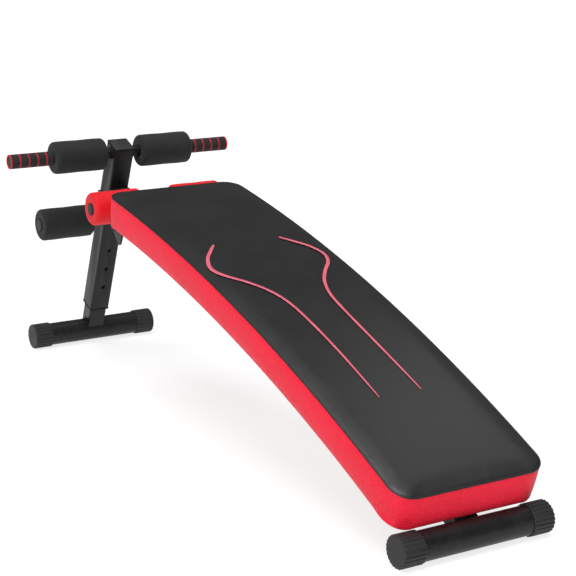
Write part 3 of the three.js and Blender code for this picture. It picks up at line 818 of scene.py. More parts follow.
@dataclass
class Pad:
    """The arched pad: a black top panel, a red side wall, a piped seam and two welded lines.

    Its seam is an arc in the XZ plane. A place on the pad is (s, y, h): the distance along the seam arc from
    the high end, the distance across, and the height above the seam.

    Args:
        shop: the workshop.
    """

    shop: Workshop
    seam_radius: float = 4.300
    arc_centre: tuple[float, float] = (-0.9768, -3.7836)
    high_angle: float = math.radians(8.45)
    low_angle: float = math.radians(24.7)
    corner: float = 0.040
    depth: float = 0.067
    deepening: float = 0.070
    lift: float = 0.0045
    lift_fade: float = 0.8
    end_lean: float = 0.008
    crown: float = 0.0050
    roll: float = 0.016
    foot_round: float = 0.0065
    flange: float = 0.028
    stations: int = 112
    columns: int = 30
    line_points: tuple = (
        (0.300, 0.079), (0.322, 0.101), (0.347, 0.123), (0.378, 0.135), (0.408, 0.124), (0.441, 0.092),
        (0.474, 0.067), (0.517, 0.051), (0.580, 0.046), (0.670, 0.0452), (0.748, 0.0465), (0.794, 0.0475))
    line_width: float = 0.0080
    line_shift: float = -0.006

    @property
    def length(self) -> float:
        """Returns the pad's length along the seam arc."""
        return self.seam_radius * (self.low_angle - self.high_angle)

    @property
    def half_width(self) -> float:
        """Returns half the pad's width, from the CAD top's box."""
        return float(self.shop.box("pad_top")[1][1])

    def to_world(self, place: np.ndarray) -> np.ndarray:
        """Bends (s, y, h) places onto the arc.

        A point is the arc's centre plus (R + h + lift) times (sin a, cos a), where a is the angle at s. The
        lift raises the seam most at the high end and leaves the underside where it is.

        Args:
            place: the places, with s, y and h last.

        Returns:
            The points, in metres.
        """
        s, y, h = np.moveaxis(place, -1, 0)
        angle = self.high_angle + s / self.seam_radius
        lift = self.lift * (1 - self.lift_fade * s / self.length) * np.clip(1 + h / self.depth, 0, 1)
        reach = self.seam_radius + h + lift
        x = self.arc_centre[0] + reach * np.sin(angle)
        return np.stack([x, y, self.arc_centre[1] + reach * np.cos(angle)], -1)

    def half_width_at(self, s: np.ndarray) -> np.ndarray:
        """Gives half the width at each s, following the rounded corners.

        It is W - r + sqrt(r^2 - q^2), where q is how far s lies inside a corner's radius r.

        Args:
            s: places along the pad.

        Returns:
            Half the width at each place.
        """
        to_end = np.minimum(s, self.length - s)
        short = np.clip(self.corner - to_end, 0, self.corner)
        return self.half_width - self.corner + np.sqrt(np.maximum(self.corner**2 - short**2, 0))

    def station_places(self) -> np.ndarray:
        """Gives the places along the pad, spaced by a cosine in the corners and evenly between them.

        Returns:
            The places, from the high end to the low end.
        """
        corner = self.corner * (1 - np.cos(np.linspace(0, np.pi / 2, 10)))
        middle = np.linspace(self.corner, self.length - self.corner, self.stations)[1:-1]
        return np.concatenate([corner, middle, (self.length - corner)[::-1]])

    def plan(self) -> np.ndarray:
        """Gives the flat (s, y) grid of the top panel, stations by columns by 2.

        Returns:
            The grid's places.
        """
        s = self.station_places()
        spread = np.sin(np.linspace(-1, 1, self.columns) * 1.25) / np.sin(1.25)
        half = self.half_width_at(s)[:, None]
        return np.stack([s[:, None] + 0 * spread, half * spread[None, :]], -1)

    def rim_numbers(self, rows: int, cols: int) -> np.ndarray:
        """Gives the numbers of a grid's outer corners, in order round it.

        Args:
            rows: how many rows the grid has.
            cols: how many columns it has.

        Returns:
            The numbers, each once.
        """
        i, j = np.arange(rows), np.arange(cols)
        return np.concatenate([
            i[:-1] * cols, (rows - 1) * cols + j[:-1], i[:0:-1] * cols + cols - 1, j[:0:-1]])

    def edge_distance(self, plan: np.ndarray) -> np.ndarray:
        """Gives each place's distance from the rounded outline, as a rounded box's distance function.

        Args:
            plan: flat (s, y) places.

        Returns:
            The distance inwards at each place, never below nothing.
        """
        centre_s = np.abs(plan[..., 0] - self.length / 2) - (self.length / 2 - self.corner)
        centre_y = np.abs(plan[..., 1]) - (self.half_width - self.corner)
        outside = np.hypot(np.maximum(centre_s, 0), np.maximum(centre_y, 0))
        inside = np.minimum(np.maximum(centre_s, centre_y), 0)
        return np.maximum(self.corner - outside - inside, 0)

    def crown_at(self, plan: np.ndarray) -> np.ndarray:
        """Gives the top's height: crown times 1 - (1 - d / roll)^3 of the distance d from the edge."""
        near = np.clip(self.edge_distance(plan) / self.roll, 0, 1)
        return self.crown * (1 - (1 - near) ** 3)

    def wall_profile(self) -> np.ndarray:
        """Gives the wall's (outwards, height) profile: down the side, round the foot, under the board.

        Returns:
            The profile's points, from the seam to under the board.
        """
        down = self.depth
        bulge_height = np.linspace(0, down - self.foot_round, 9)
        bulge = 0.0012 * np.sin(np.pi * bulge_height / (down - self.foot_round)) - 0.0004
        side = np.stack([bulge, -0.0008 - bulge_height], 1)
        foot = arc((-self.foot_round, -down + self.foot_round), self.foot_round, -12, -90, 6)
        reach = np.linspace(-self.foot_round - 0.004, -self.flange, 4)
        under = np.stack([reach, np.full(4, -down - 0.0004)], 1)
        return np.vstack([[[-0.003, -0.0012]], side, foot, under])

    def rim_frame(self, plan: np.ndarray) -> tuple[np.ndarray, np.ndarray]:
        """Gives the outline's (s, y) places in order and their outward directions.

        Args:
            plan: the flat grid.

        Returns:
            The places and the directions, each n by 2.
        """
        rows, cols = plan.shape[:2]
        rim = plan.reshape(-1, 2)[self.rim_numbers(rows, cols)]
        nearest = np.stack([
            np.clip(rim[:, 0], self.corner, self.length - self.corner),
            np.clip(rim[:, 1], self.corner - self.half_width, self.half_width - self.corner)], 1)
        outward = rim - nearest
        return rim, outward / np.linalg.norm(outward, axis=1, keepdims=True)

    def wall_places(self, plan: np.ndarray, profile: np.ndarray) -> np.ndarray:
        """Carries a (outwards, height) profile round the outline.

        Args:
            plan: the flat grid.
            profile: the profile.

        Returns:
            The (s, y, h) places, profile points by outline points.
        """
        rim, outward = self.rim_frame(plan)
        flat = rim[None] + profile[:, None, :1] * outward[None]
        share = np.ones(len(profile))
        share[-4:] = (0.75, 0.35, 0.1, 0.0)
        growth = 1 + self.deepening * share[:, None, None] * flat[..., :1] / self.length
        height = profile[:, None, 1:] * growth
        lean = -self.end_lean * share[:, None] * profile[:, 1:] / self.depth
        flat[..., 0] += lean * np.clip(outward[None, :, 0], 0, 1) * (rim[None, :, 0] > self.length / 2)
        return np.concatenate([flat, height], -1)

    def swollen(self, top: np.ndarray, wall: np.ndarray) -> tuple[np.ndarray, np.ndarray]:
        """Lets the cover swell over its foam by a cloth simulation and gives the moved points.

        The top, the wall and a flat underside make one closed skin. The underside is pinned to the board,
        the skin is blown up for 20 frames, and no point travels further than the firm foam lets it.

        Args:
            top: the top's points, rows by columns by 3.
            wall: the wall's points from the seam down, rows by outline by 3.

        Returns:
            The moved top and the moved wall.
        """
        rows, cols = top.shape[:2]
        ring = self.rim_numbers(rows, cols)
        body_rows = wall[1:-4]
        skin = grid(top)
        first = len(skin.points)
        strip = grid(body_rows, wrap=(False, True))
        count = len(ring)
        start = first + np.arange(count)
        seam = np.stack([ring, np.roll(ring, -1), np.roll(start, -1), start], 1)
        last = first + (len(body_rows) - 1) * count + np.arange(count)
        plan = self.plan()
        floor_half = np.concatenate([plan, np.full((*plan.shape[:2], 1), -self.depth)], -1)
        floor_half[..., 1] *= 0.93
        floor_half[..., 0] = self.length / 2 + 0.985 * (floor_half[..., 0] - self.length / 2)
        floor = grid(self.to_world(floor_half))
        floor_start = first + len(strip.points)
        hem = np.stack([last, np.roll(last, -1), floor_start + np.roll(ring, -1), floor_start + ring], 1)
        points = np.vstack([skin.points, strip.points, floor.points])
        quads = np.vstack([skin.quads, strip.quads + first, seam, floor.quads + floor_start, hem])
        blank = make_object("pad_blank", Shape(points, quads), closed=False)
        work = bmesh.new()
        work.from_mesh(blank.data)
        bmesh.ops.recalc_face_normals(work, faces=work.faces)
        work.to_mesh(blank.data)
        work.free()
        pins = blank.vertex_groups.new(name="pins")
        pins.add(np.arange(floor_start - count, len(points)).tolist(), 1.0, "REPLACE")
        pins.add(ring.tolist(), 0.92, "REPLACE")
        cloth = blank.modifiers.new("Cloth", "CLOTH")
        cloth.settings.vertex_group_mass = "pins"
        cloth.settings.use_pressure = True
        cloth.settings.uniform_pressure_force = 4.0
        cloth.settings.effector_weights.gravity = 0.0
        cloth.settings.tension_stiffness = 40.0
        cloth.settings.compression_stiffness = 40.0
        cloth.settings.bending_stiffness = 2.0
        cloth.settings.quality = 5
        for number in range(1, 21):
            bpy.context.scene.frame_set(number)
        settled = blank.evaluated_get(bpy.context.evaluated_depsgraph_get()).to_mesh()
        moved = np.empty(3 * len(points), dtype=np.float32)
        settled.vertices.foreach_get("co", moved)
        travel = moved.reshape(-1, 3) - points
        reach = np.linalg.norm(travel, axis=1, keepdims=True)
        cap = 0.0035
        travel *= np.where(reach > 1e-9, cap * np.tanh(reach / cap) / np.maximum(reach, 1e-9), 0)
        bpy.data.objects.remove(blank)
        bpy.context.scene.frame_set(1)
        log.info("cloth moved the cover by up to %.1f mm", 1000 * np.linalg.norm(travel, axis=1).max())
        new_top = top + travel[:first].reshape(top.shape)
        new_wall = wall.copy()
        new_wall[1:-4] += travel[first:floor_start].reshape(body_rows.shape)
        return new_top, new_wall

    def cover_lift(self, s: np.ndarray, y: np.ndarray, top: np.ndarray) -> np.ndarray:
        """Gives the height of the finished top above the seam arc at some places.

        Args:
            s: places along the pad.
            y: places across it.
            top: the finished top's points, rows by columns by 3.

        Returns:
            The heights, by the nearest four grid points and their distances.
        """
        flat = top.reshape(-1, 3)
        reach = np.hypot(flat[:, 0] - self.arc_centre[0], flat[:, 2] - self.arc_centre[1])
        height = reach - self.seam_radius
        angle = np.arctan2(flat[:, 0] - self.arc_centre[0], flat[:, 2] - self.arc_centre[1])
        along = (angle - self.high_angle) * self.seam_radius
        distance = np.hypot(along[None] - s[:, None], flat[None, :, 1] - y[:, None])
        near = np.argsort(distance, axis=1)[:, :4]
        weight = 1 / (np.take_along_axis(distance, near, 1) + 1e-5)
        return np.sum(weight * height[near], 1) / weight.sum(1)

    def welded_line(self, side: Side, top: np.ndarray) -> Shape:
        """Builds one of the two thin lines: a smooth curve through a few points, tapered to both ends.

        The curve is a cubic Hermite through the points, and its ribbon stands a third of a millimetre proud.

        Args:
            side: the side that it lies on.
            top: the finished top's points.

        Returns:
            The ribbon's surface.
        """
        points = np.array(self.line_points) * [self.length, 1.0]
        curve = smooth_curve(points, 240)
        tangent = np.gradient(curve, axis=0)
        tangent /= np.linalg.norm(tangent, axis=1, keepdims=True)
        across = np.stack([-tangent[:, 1], tangent[:, 0]], 1)
        along = np.linspace(0, 1, len(curve))
        width = self.line_width * (0.12 + 0.88 * np.clip(np.sin(np.pi * along**0.5), 0, 1) ** 0.45)
        steps = np.array([-0.5, -0.38, 0.0, 0.38, 0.5])
        rise = np.array([-0.0003, 0.00022, 0.00032, 0.00022, -0.0003])
        flat = curve[:, None] + steps[None, :, None] * width[:, None, None] * across[:, None]
        s, y = flat[..., 0], side.value * flat[..., 1] + self.line_shift
        lift = self.cover_lift(s.ravel(), y.ravel(), top).reshape(s.shape)
        upper = np.stack([s, y, lift + rise], -1)
        lower = upper[:, ::-1].copy()
        lower[..., 2] = lift[:, ::-1] - 0.0006
        return grid(self.to_world(np.concatenate([upper, lower], 1)), wrap=(False, True))

    def build(self) -> None:
        """Builds and dresses the pad's pieces."""
        plan = self.plan()
        top = self.to_world(np.concatenate([plan, self.crown_at(plan)[..., None]], -1))
        wall = self.to_world(self.wall_places(plan, self.wall_profile()))
        top, wall = self.swollen(top, wall)
        self.build_top(plan, top)
        self.build_wall(wall)
        self.build_piping(plan, top)
        pink = self.shop.finishes.line_print()
        for side in Side:
            line = make_object(f"welded_line_{side.word}", self.welded_line(side, top))
            self.close_ends(line)
            self.shop.dress(line, Body.BENCH.value, Slot.VINYL, material=pink)

    @staticmethod
    def close_ends(piece: bpy.types.Object) -> None:
        """Fills a tube's open ends and turns its faces outwards.

        Args:
            piece: the tube to close.
        """
        work = bmesh.new()
        work.from_mesh(piece.data)
        bmesh.ops.holes_fill(work, edges=[e for e in work.edges if e.is_boundary], sides=0)
        bmesh.ops.recalc_face_normals(work, faces=work.faces)
        work.to_mesh(piece.data)
        work.free()

    def build_top(self, plan: np.ndarray, top: np.ndarray) -> None:
        """Makes the black top panel, 2 mm thick.

        Args:
            plan: the flat grid, which is also its UV map.
            top: the panel's points.
        """
        below = self.shop.centre("pad_board") - [0, 0, 1.0]
        piece = make_object("pad_top_panel", grid(top, uv=plan).turned_outwards(below), closed=False)
        add_subdivision(piece)
        add_wall(piece, 0.0022)
        self.shop.dress(piece, Body.BENCH.value, Slot.VINYL, ["pad_top"])

    def build_wall(self, wall: np.ndarray) -> None:
        """Makes the red side wall, tucked under the board.

        Args:
            wall: the wall's points from the seam down.
        """
        closing = np.concatenate([wall, wall[:, :1]], 1)
        along = np.concatenate([[0], np.cumsum(np.linalg.norm(np.diff(closing[3], axis=0), axis=1))])
        down = np.concatenate([[0], np.cumsum(np.linalg.norm(np.diff(wall[:, 40], axis=0), axis=1))])
        uv = np.stack(np.broadcast_arrays(along[None, :], down[:, None]), -1)
        shape = grid(wall, uv=uv, wrap=(False, True)).turned_outwards(self.shop.centre("pad_core"))
        piece = make_object("pad_side_wall", shape, closed=False)
        add_subdivision(piece)
        add_wall(piece, 0.0018)
        self.shop.dress(piece, Body.BENCH.value, Slot.RED_VINYL, ["pad_core"])

    def build_piping(self, plan: np.ndarray, top: np.ndarray) -> None:
        """Makes the black bead in the seam between the top and the wall.

        Args:
            plan: the flat grid.
            top: the top panel's points.
        """
        rows, cols = plan.shape[:2]
        rim = top.reshape(-1, 3)[self.rim_numbers(rows, cols)]
        _, outward = self.rim_frame(plan)
        angle = self.high_angle + self.rim_frame(plan)[0][:, 0] / self.seam_radius
        upward = np.stack([np.sin(angle), 0 * angle, np.cos(angle)], 1)
        along = np.stack([np.cos(angle), 0 * angle, -np.sin(angle)], 1)
        across = outward[:, :1] * along + outward[:, 1:] * np.array([[0.0, 1.0, 0.0]])
        path = rim - 0.0010 * across - 0.0004 * upward
        piece = make_object("pad_piping", round_path(path, np.array(0.0018), across, upward))
        add_subdivision(piece)
        self.shop.dress(piece, Body.BENCH.value, Slot.VINYL)


def smooth_curve(points: np.ndarray, count: int) -> np.ndarray:
    """Runs a smooth curve through some points.

    Each stretch is a cubic Hermite whose end slopes are half the step between the neighbours.

    Args:
        points: the points, n by 2.
        count: the number of places along the curve.

    Returns:
        The places, count by 2.
    """
    slopes = np.gradient(points, axis=0)
    at = np.linspace(0, len(points) - 1 - 1e-9, count)
    k = at.astype(int)
    t = (at - k)[:, None]
    p0, p1, m0, m1 = points[k], points[k + 1], slopes[k], slopes[k + 1]
    return ((2 * t**3 - 3 * t**2 + 1) * p0 + (t**3 - 2 * t**2 + t) * m0
            + (3 * t**2 - 2 * t**3) * p1 + (t**3 - t**2) * m1)


def add_subdivision(piece: bpy.types.Object, levels: int = 1) -> None:
    """Adds a Subdivision Surface modifier with the same levels in view and render.

    Args:
        piece: the piece that gets it.
        levels: how many times it divides.
    """
    subdivision = piece.modifiers.new("Subdivision", "SUBSURF")
    subdivision.levels = levels
    subdivision.render_levels = levels


def add_wall(piece: bpy.types.Object, thickness: float) -> None:
    """Adds a Solidify modifier that grows a wall inwards.

    Args:
        piece: the shell that gets a thickness.
        thickness: the wall, in metres.
    """
    solidify = piece.modifiers.new("Wall", "SOLIDIFY")
    solidify.thickness = thickness
    solidify.offset = -1.0


# ---- Rollers ------------------------------------------------------------------------------------


@dataclass
class FoamRollers:
    """The six foam rollers, each a body of its own.

    Args:
        shop: the workshop.
    """

    shop: Workshop
    shoulder: float = 0.0075
    bore: float = 0.0131
    recess: float = 0.0032
    sides: int = 96

    def profile(self, radius: float, length: float) -> np.ndarray:
        """Gives the closed (radius, y) profile of a roller about its middle.

        The ends are dished round the bore, and the shoulders are quarter circles.

        Args:
            radius: the roller's radius.
            length: its length.

        Returns:
            The profile.
        """
        end = length / 2
        shoulder = arc((radius - self.shoulder, end - self.shoulder), self.shoulder, 90, 0, 9)
        lip = arc((self.bore + self.recess, end - self.recess), self.recess, 180, 90, 6)
        across = np.linspace(self.bore + 2 * self.recess, radius - 1.6 * self.shoulder, 4)
        face = np.stack([across, np.full(4, end + 0.0002)], 1)
        far = np.vstack([lip, face, shoulder])
        waves = radius + 0.0003 * np.sin(np.linspace(0, 3 * np.pi, 12))
        side = np.stack([waves, np.linspace(end - 0.012, 0.012 - end, 12)], 1)
        near = far[::-1] * [1, -1]
        inside = np.stack([np.full(4, self.bore), np.linspace(0.008 - end, end - 0.008, 4)], 1)
        return np.vstack([far, side, near, inside])

    def build(self) -> None:
        """Builds and dresses the rollers."""
        for group, slot, radius in (
                ("top", Slot.FOAM, 0.0385), ("lower", Slot.FOAM, 0.0385), ("bench", Slot.RED_FOAM, 0.038)):
            for side in Side:
                node = f"{group}_roller_{side.word}"
                low, high = self.shop.box(node)
                middle = (low + high) / 2
                shape = revolved(self.profile(radius, high[1] - low[1]), middle, self.sides)
                piece = make_object(f"{group}_foam_{side.word}", shape, 50)
                self.shop.dress(piece, node, slot, [node])


# ---- Grips --------------------------------------------------------------------------------------


@dataclass
class Grips:
    """The two hand grips: ribbed black foam sleeves with red rings and a red-rimmed end.

    Args:
        shop: the workshop.
    """

    shop: Workshop
    radius: float = 0.0172
    rings: int = 4
    first_ring: float = 0.021
    pitch: float = 0.022
    ring_width: float = 0.0036
    rib_pitch: float = 0.0042

    def sleeve_profile(self, length: float) -> np.ndarray:
        """Gives the sleeve's closed (radius, distance from its outer end) profile.

        The radius dips in a round groove at each rib's edge and under each ring.

        Args:
            length: the sleeve's length.

        Returns:
            The profile.
        """
        along = np.linspace(0.002, length - 0.002, 260)
        ribs = 0.00055 * np.abs(np.sin(np.pi * along / self.rib_pitch)) ** 0.6
        centres = self.first_ring + self.pitch * np.arange(self.rings)
        nearest = np.min(np.abs(along[:, None] - centres[None]), axis=1)
        seat = np.clip(1 - (nearest / (0.62 * self.ring_width)) ** 6, 0, 1)
        outer = self.radius - 0.0006 + ribs * (1 - seat) - 0.0010 * seat
        bore = 0.0129
        return np.vstack([
            [[bore, 0.0]], [[self.radius - 0.002, 0.0]], np.stack([outer, along], 1),
            [[self.radius - 0.002, length]], [[bore, length]]])

    def ring_profile(self, centre: float) -> np.ndarray:
        """Gives one red ring's closed profile: a low half-round band seated in the sleeve.

        Args:
            centre: the ring's middle along the grip.

        Returns:
            The profile's (radius, along) points.
        """
        half = self.ring_width / 2
        crown = np.stack([
            self.radius - 0.0005 + 0.0005 * np.sin(np.linspace(0, np.pi, 9)),
            np.linspace(centre - half, centre + half, 9)], 1)
        seat = self.radius - 0.003
        return np.vstack([crown, [[seat, centre + half], [seat, centre - half]]])

    def build(self) -> None:
        """Builds and dresses both grips."""
        dark_red = self.shop.finishes.foam("grip_red", (0.30, 0.004, 0.012), (0.42, 0.007, 0.02), 0.6)
        for side in Side:
            low, high = self.shop.box(f"grip_{side.word}")
            axis = self.shop.centre("top_bar")
            outer_end = high[1] if side is Side.RIGHT else low[1]
            axis[1] = outer_end
            inward = np.array([1, -side.value])
            sleeve = revolved(self.sleeve_profile(high[1] - low[1]) * inward, axis, 64)
            piece = make_object(f"grip_sleeve_{side.word}", sleeve, 60)
            self.shop.dress(piece, Body.UPRIGHT.value, Slot.FOAM, [f"grip_{side.word}"])
            centres = self.first_ring + self.pitch * np.arange(self.rings)
            rings = [revolved(self.ring_profile(c) * inward, axis, 64) for c in centres]
            bands = make_object(f"grip_rings_{side.word}", rings[0].joined(*rings[1:]), 50)
            self.shop.dress(bands, Body.UPRIGHT.value, Slot.RED_FOAM, material=dark_red)
            self.build_end(side, axis)

    def build_end(self, side: Side, axis: np.ndarray) -> None:
        """Makes the end plug and the red rim round it.

        Args:
            side: the grip's side.
            axis: the middle of the sleeve's outer end.
        """
        outward = np.array([1, side.value])
        rim = np.vstack([
            arc((self.radius - 0.0013, 0.0013), 0.0013, -90, 90, 8),
            arc((self.radius - 0.0019, 0.0018), 0.0008, 90, 180, 5), [[self.radius - 0.0027, 0.0001]]])
        piece = make_object(f"grip_rim_{side.word}", revolved(rim * outward, axis, 64), 50)
        self.shop.dress(piece, Body.UPRIGHT.value, Slot.RED_FOAM)
        plug = np.vstack([
            [[0.0, 0.0012], [0.0120, 0.0012]], arc((0.0132, 0.0004), 0.0008, 80, -20, 5),
            [[0.0136, 0.0], [0.0106, 0.0], [0.0106, -0.012], [0.0, -0.012]]])
        made = make_object(f"grip_plug_{side.word}", revolved(plug * outward, axis, 64), 40)
        self.shop.dress(made, Body.UPRIGHT.value, Slot.PLASTIC, [f"grip_cap_{side.word}"])


# ---- Feet ---------------------------------------------------------------------------------------


@dataclass
class Feet:
    """The two round stabilisers with their fluted end caps.

    Args:
        shop: the workshop.
    """

    shop: Workshop
    cap_radius: float = 0.0310
    flutes: int = 22
    flute_depth: float = 0.055
    fluted_from: float = 0.0285
    sides: int = 240

    def cap_profile(self, length: float) -> np.ndarray:
        """Gives the cap's closed (radius, distance from its outer face) profile.

        Args:
            length: the cap's length.

        Returns:
            The profile: a flat face with a shallow ring step, a rounded rim, the sleeve and its bore.
        """
        r = self.cap_radius
        face = np.array([[0.0, 0.0], [0.010, 0.0], [0.0225, 0.0], [0.0245, 0.0]])
        rim = arc((r - 0.0022, 0.0022), 0.0022, -90, 0, 6)
        sleeve = np.stack([np.full(8, r), np.linspace(0.004, length - 0.002, 8)], 1)
        mouth = arc((r - 0.0012, length - 0.0012), 0.0012, 0, 90, 4)
        bore = np.array([[0.0283, length], [0.0283, 0.006], [0.0, 0.006]])
        return np.vstack([face, rim, sleeve, mouth, bore])

    def groove_at(self, turn: np.ndarray) -> np.ndarray:
        """Gives the share of the radius that the grooves take: the 4th power of a cosine of the turn."""
        return self.flute_depth * np.abs(np.cos(self.flutes * turn / 2)) ** 4

    def cap_shape(self, profile: np.ndarray, axis: np.ndarray) -> Shape:
        """Turns the cap's profile, cuts the flutes and stands it on the floor.

        Args:
            profile: the cap's profile.
            axis: the middle of the cap's outer face.

        Returns:
            The surface.
        """
        turn = np.linspace(0, 2 * np.pi, self.sides, endpoint=False)[None, :]
        radius, y = profile[:, :1], profile[:, 1:]
        outside = np.clip((radius - self.fluted_from) / 0.0008, 0, 1)
        reach = radius * (1 - outside * self.groove_at(turn))
        points = np.stack([
            axis[0] + reach * np.cos(turn), axis[1] + y + 0 * turn, axis[2] + reach * np.sin(turn)], -1)
        points[..., 2] = np.maximum(points[..., 2], 0.0)
        return grid(points, wrap=(False, True))

    def build(self) -> None:
        """Builds and dresses both stabilisers."""
        stabilisers = (("low_cross_tube", "low_cap", Body.BENCH), ("foot_cross_tube", "foot_cap", Body.LEG))
        for tube, caps, body in stabilisers:
            low, high = self.shop.box(tube)
            axis = (low + high) / 2
            self.build_tube(tube, axis, (high[1] - low[1]) / 2, body)
            for side in Side:
                node = f"{caps}_{side.word}"
                cap_low, cap_high = self.shop.box(node)
                face = cap_high[1] if side is Side.RIGHT else cap_low[1]
                profile = self.cap_profile(cap_high[1] - cap_low[1]) * [1, -side.value]
                shape = self.cap_shape(profile, np.array([axis[0], face, axis[2]]))
                piece = make_object(f"fluted_{node}", shape, 40)
                self.shop.dress(piece, body.value, Slot.PLASTIC, [node])

    def build_tube(self, node: str, axis: np.ndarray, half: float, body: Body) -> None:
        """Makes one stabiliser tube as a smooth round pipe.

        Args:
            node: the CAD tube that it replaces.
            axis: the tube's middle.
            half: half its length.
            body: the body that it rides on.
        """
        outer, inner = 0.0280, 0.0260
        profile = np.array([
            [outer - 0.0005, half], [outer, half - 0.0005], [outer, 0.0], [outer, 0.0005 - half],
            [outer - 0.0005, -half], [inner, -half], [inner, half]])
        piece = make_object(f"round_{node}", revolved(profile, axis, 96), 40)
        self.shop.dress(piece, body.value, Slot.STEEL, [node])


# ---- Bars ---------------------------------------------------------------------------------------


@dataclass
class Bars:
    """The three round bars, their end plugs and the weld beads that hold them.

    Args:
        shop: the workshop.
    """

    shop: Workshop
    radius: float = 0.0127
    wall: float = 0.0015

    def bar_profile(self, half: float) -> np.ndarray:
        """Gives a bar's closed profile, with its two mouths eased.

        Args:
            half: half the bar's length.

        Returns:
            The profile's (radius, along) points.
        """
        ease = 0.0004
        outer = np.stack([np.full(7, self.radius), np.linspace(half - ease, ease - half, 7)], 1)
        inner = self.radius - self.wall
        mouth = self.radius - ease
        return np.vstack([[[mouth, half]], outer, [[mouth, -half], [inner, -half], [inner, half]]])

    def plug_profile(self) -> np.ndarray:
        """Gives an end plug's profile: a domed disc with a rounded rim on a ribbed stem.

        Returns:
            The profile's (radius, along) points.
        """
        dome = np.stack([
            np.linspace(0, 0.0112, 6), 0.0026 - 0.0006 * (np.linspace(0, 1, 6)) ** 2], 1)
        rim = arc((0.0122, 0.0008), 0.0013, 70, -40, 6)
        stem = np.array([
            [0.0108, 0.0], [0.0108, -0.004], [0.0104, -0.005], [0.0108, -0.006], [0.0104, -0.012],
            [0.0, -0.012]])
        return np.vstack([dome, rim, stem])

    def weld(self, centre: np.ndarray, radius: float, bead: float, seed: float) -> Shape:
        """Builds a weld bead round a bar: a thin ring whose thickness ripples along it.

        Args:
            centre: the ring's middle.
            radius: the ring's radius.
            bead: half the bead's thickness.
            seed: shifts the ripples.

        Returns:
            The surface.
        """
        turn = np.linspace(0, 2 * np.pi, 144, endpoint=False)
        outward = np.stack([np.cos(turn), 0 * turn, np.sin(turn)], 1)
        path = centre + radius * outward
        ripple = bead * (1 + 0.16 * np.sin(26 * turn + seed) + 0.07 * np.sin(5 * turn + 2 * seed))
        side = np.broadcast_to(np.array([0.0, 1.0, 0.0]), outward.shape)
        return round_path(path, ripple, outward, side, 10)

    def build(self) -> None:
        """Builds and dresses the bars, plugs and welds."""
        for bar, body in (("top_bar", Body.UPRIGHT), ("lower_bar", Body.UPRIGHT), ("bench_bar", Body.BENCH)):
            low, high = self.shop.box(bar)
            middle = (low + high) / 2
            half = (high[1] - low[1]) / 2
            piece = make_object(f"round_{bar}", revolved(self.bar_profile(half), middle, 72), 40)
            self.shop.dress(piece, body.value, Slot.STEEL, [bar])
            for side in Side:
                if bar != "top_bar":
                    end = middle + [0, side.value * (half + 0.0004), 0]
                    shape = revolved(self.plug_profile() * [1, side.value], end, 64)
                    node = f"{bar}_plug_{side.word}"
                    made = make_object(f"domed_{node}", shape, 45)
                    self.shop.dress(made, body.value, Slot.PLASTIC, [node])
            reach = {"top_bar": 0.0255, "lower_bar": 0.0297, "bench_bar": 0.0203}[bar]
            welds = [
                self.weld(middle + [0, side.value * reach, 0],
                          self.radius + 0.0006, 0.0017, 1.3 * side.value) for side in Side]
            beads = make_object(f"weld_{bar}", welds[0].joined(welds[1]), 60)
            self.shop.dress(beads, body.value, Slot.STEEL)


# ---- Frame --------------------------------------------------------------------------------------


@dataclass
class FrameWork:
    """The square tubes, bracket, channels, caps, knob and fasteners, with their edges eased.

    Args:
        shop: the workshop.
    """

    shop: Workshop

    def build(self) -> None:
        """Builds and dresses each eased piece, then dresses the CAD nodes that stay."""
        steel, plastic, zinc = Slot.STEEL, Slot.PLASTIC, Slot.ZINC
        bench, upright, leg = Body.BENCH.value, Body.UPRIGHT.value, Body.LEG.value
        eased = (
            ("main_tube", bench, steel, 0.3, 3.0), ("upright_tube", upright, steel, 0.3, 3.0),
            ("inner_leg", leg, steel, 0.3, 2.5), ("pivot_bracket", upright, steel, 0.35, None),
            ("pad_plate_high", bench, steel, 0.4, None), ("pad_plate_mid", bench, steel, 0.4, None),
            ("pad_plate_low", bench, steel, 0.4, None), ("end_stop", bench, plastic, 0.6, None),
            ("upright_cap", upright, plastic, 0.9, None), ("leg_bushing", upright, plastic, 0.4, None),
            ("lock_knob", "lock_knob", plastic, 0.7, None), ("pivot_bolt", bench, zinc, 0.5, None),
            ("pivot_nut", bench, zinc, 0.4, None), ("guide_bolt", bench, zinc, 0.4, None),
            ("pivot_washer_left", bench, zinc, 0.25, None), ("pivot_washer_right", bench, zinc, 0.25, None),
            ("snap_button", "snap_button", plastic, 0.3, None), ("bench_bar_saddle", bench, steel, 0.5, None),
            ("pad_board", bench, Slot.PLYWOOD, 0.5, None),
        )
        for node, body, slot, edge, long_edge in eased:
            long_round = long_edge * MM if long_edge else None
            piece = self.shop.eased_copy(node, f"eased_{node}", edge * MM, long_round)
            self.shop.dress(piece, body, slot, [node])
        for number in range(1, 7):
            node = f"pad_bolt_{number}"
            piece = self.shop.eased_copy(node, f"eased_{node}", 0.4 * MM)
            self.shop.dress(piece, bench, zinc, [node])

    def dress_kept_nodes(self) -> None:
        """Gives each CAD node that is still shown the material of its slot."""
        for entry in self.shop.frame["record"]["subparts"]:
            node = entry["node"]
            if node in self.shop.replaced:
                continue
            kept = self.shop.frame["nodes"][node]
            material = self.shop.finishes.made[Slot(entry["material_slot"])]
            for place in kept.material_slots:
                place.material = material
            log.info("%s keeps its CAD shape", node)


# ---- Stage --------------------------------------------------------------------------------------


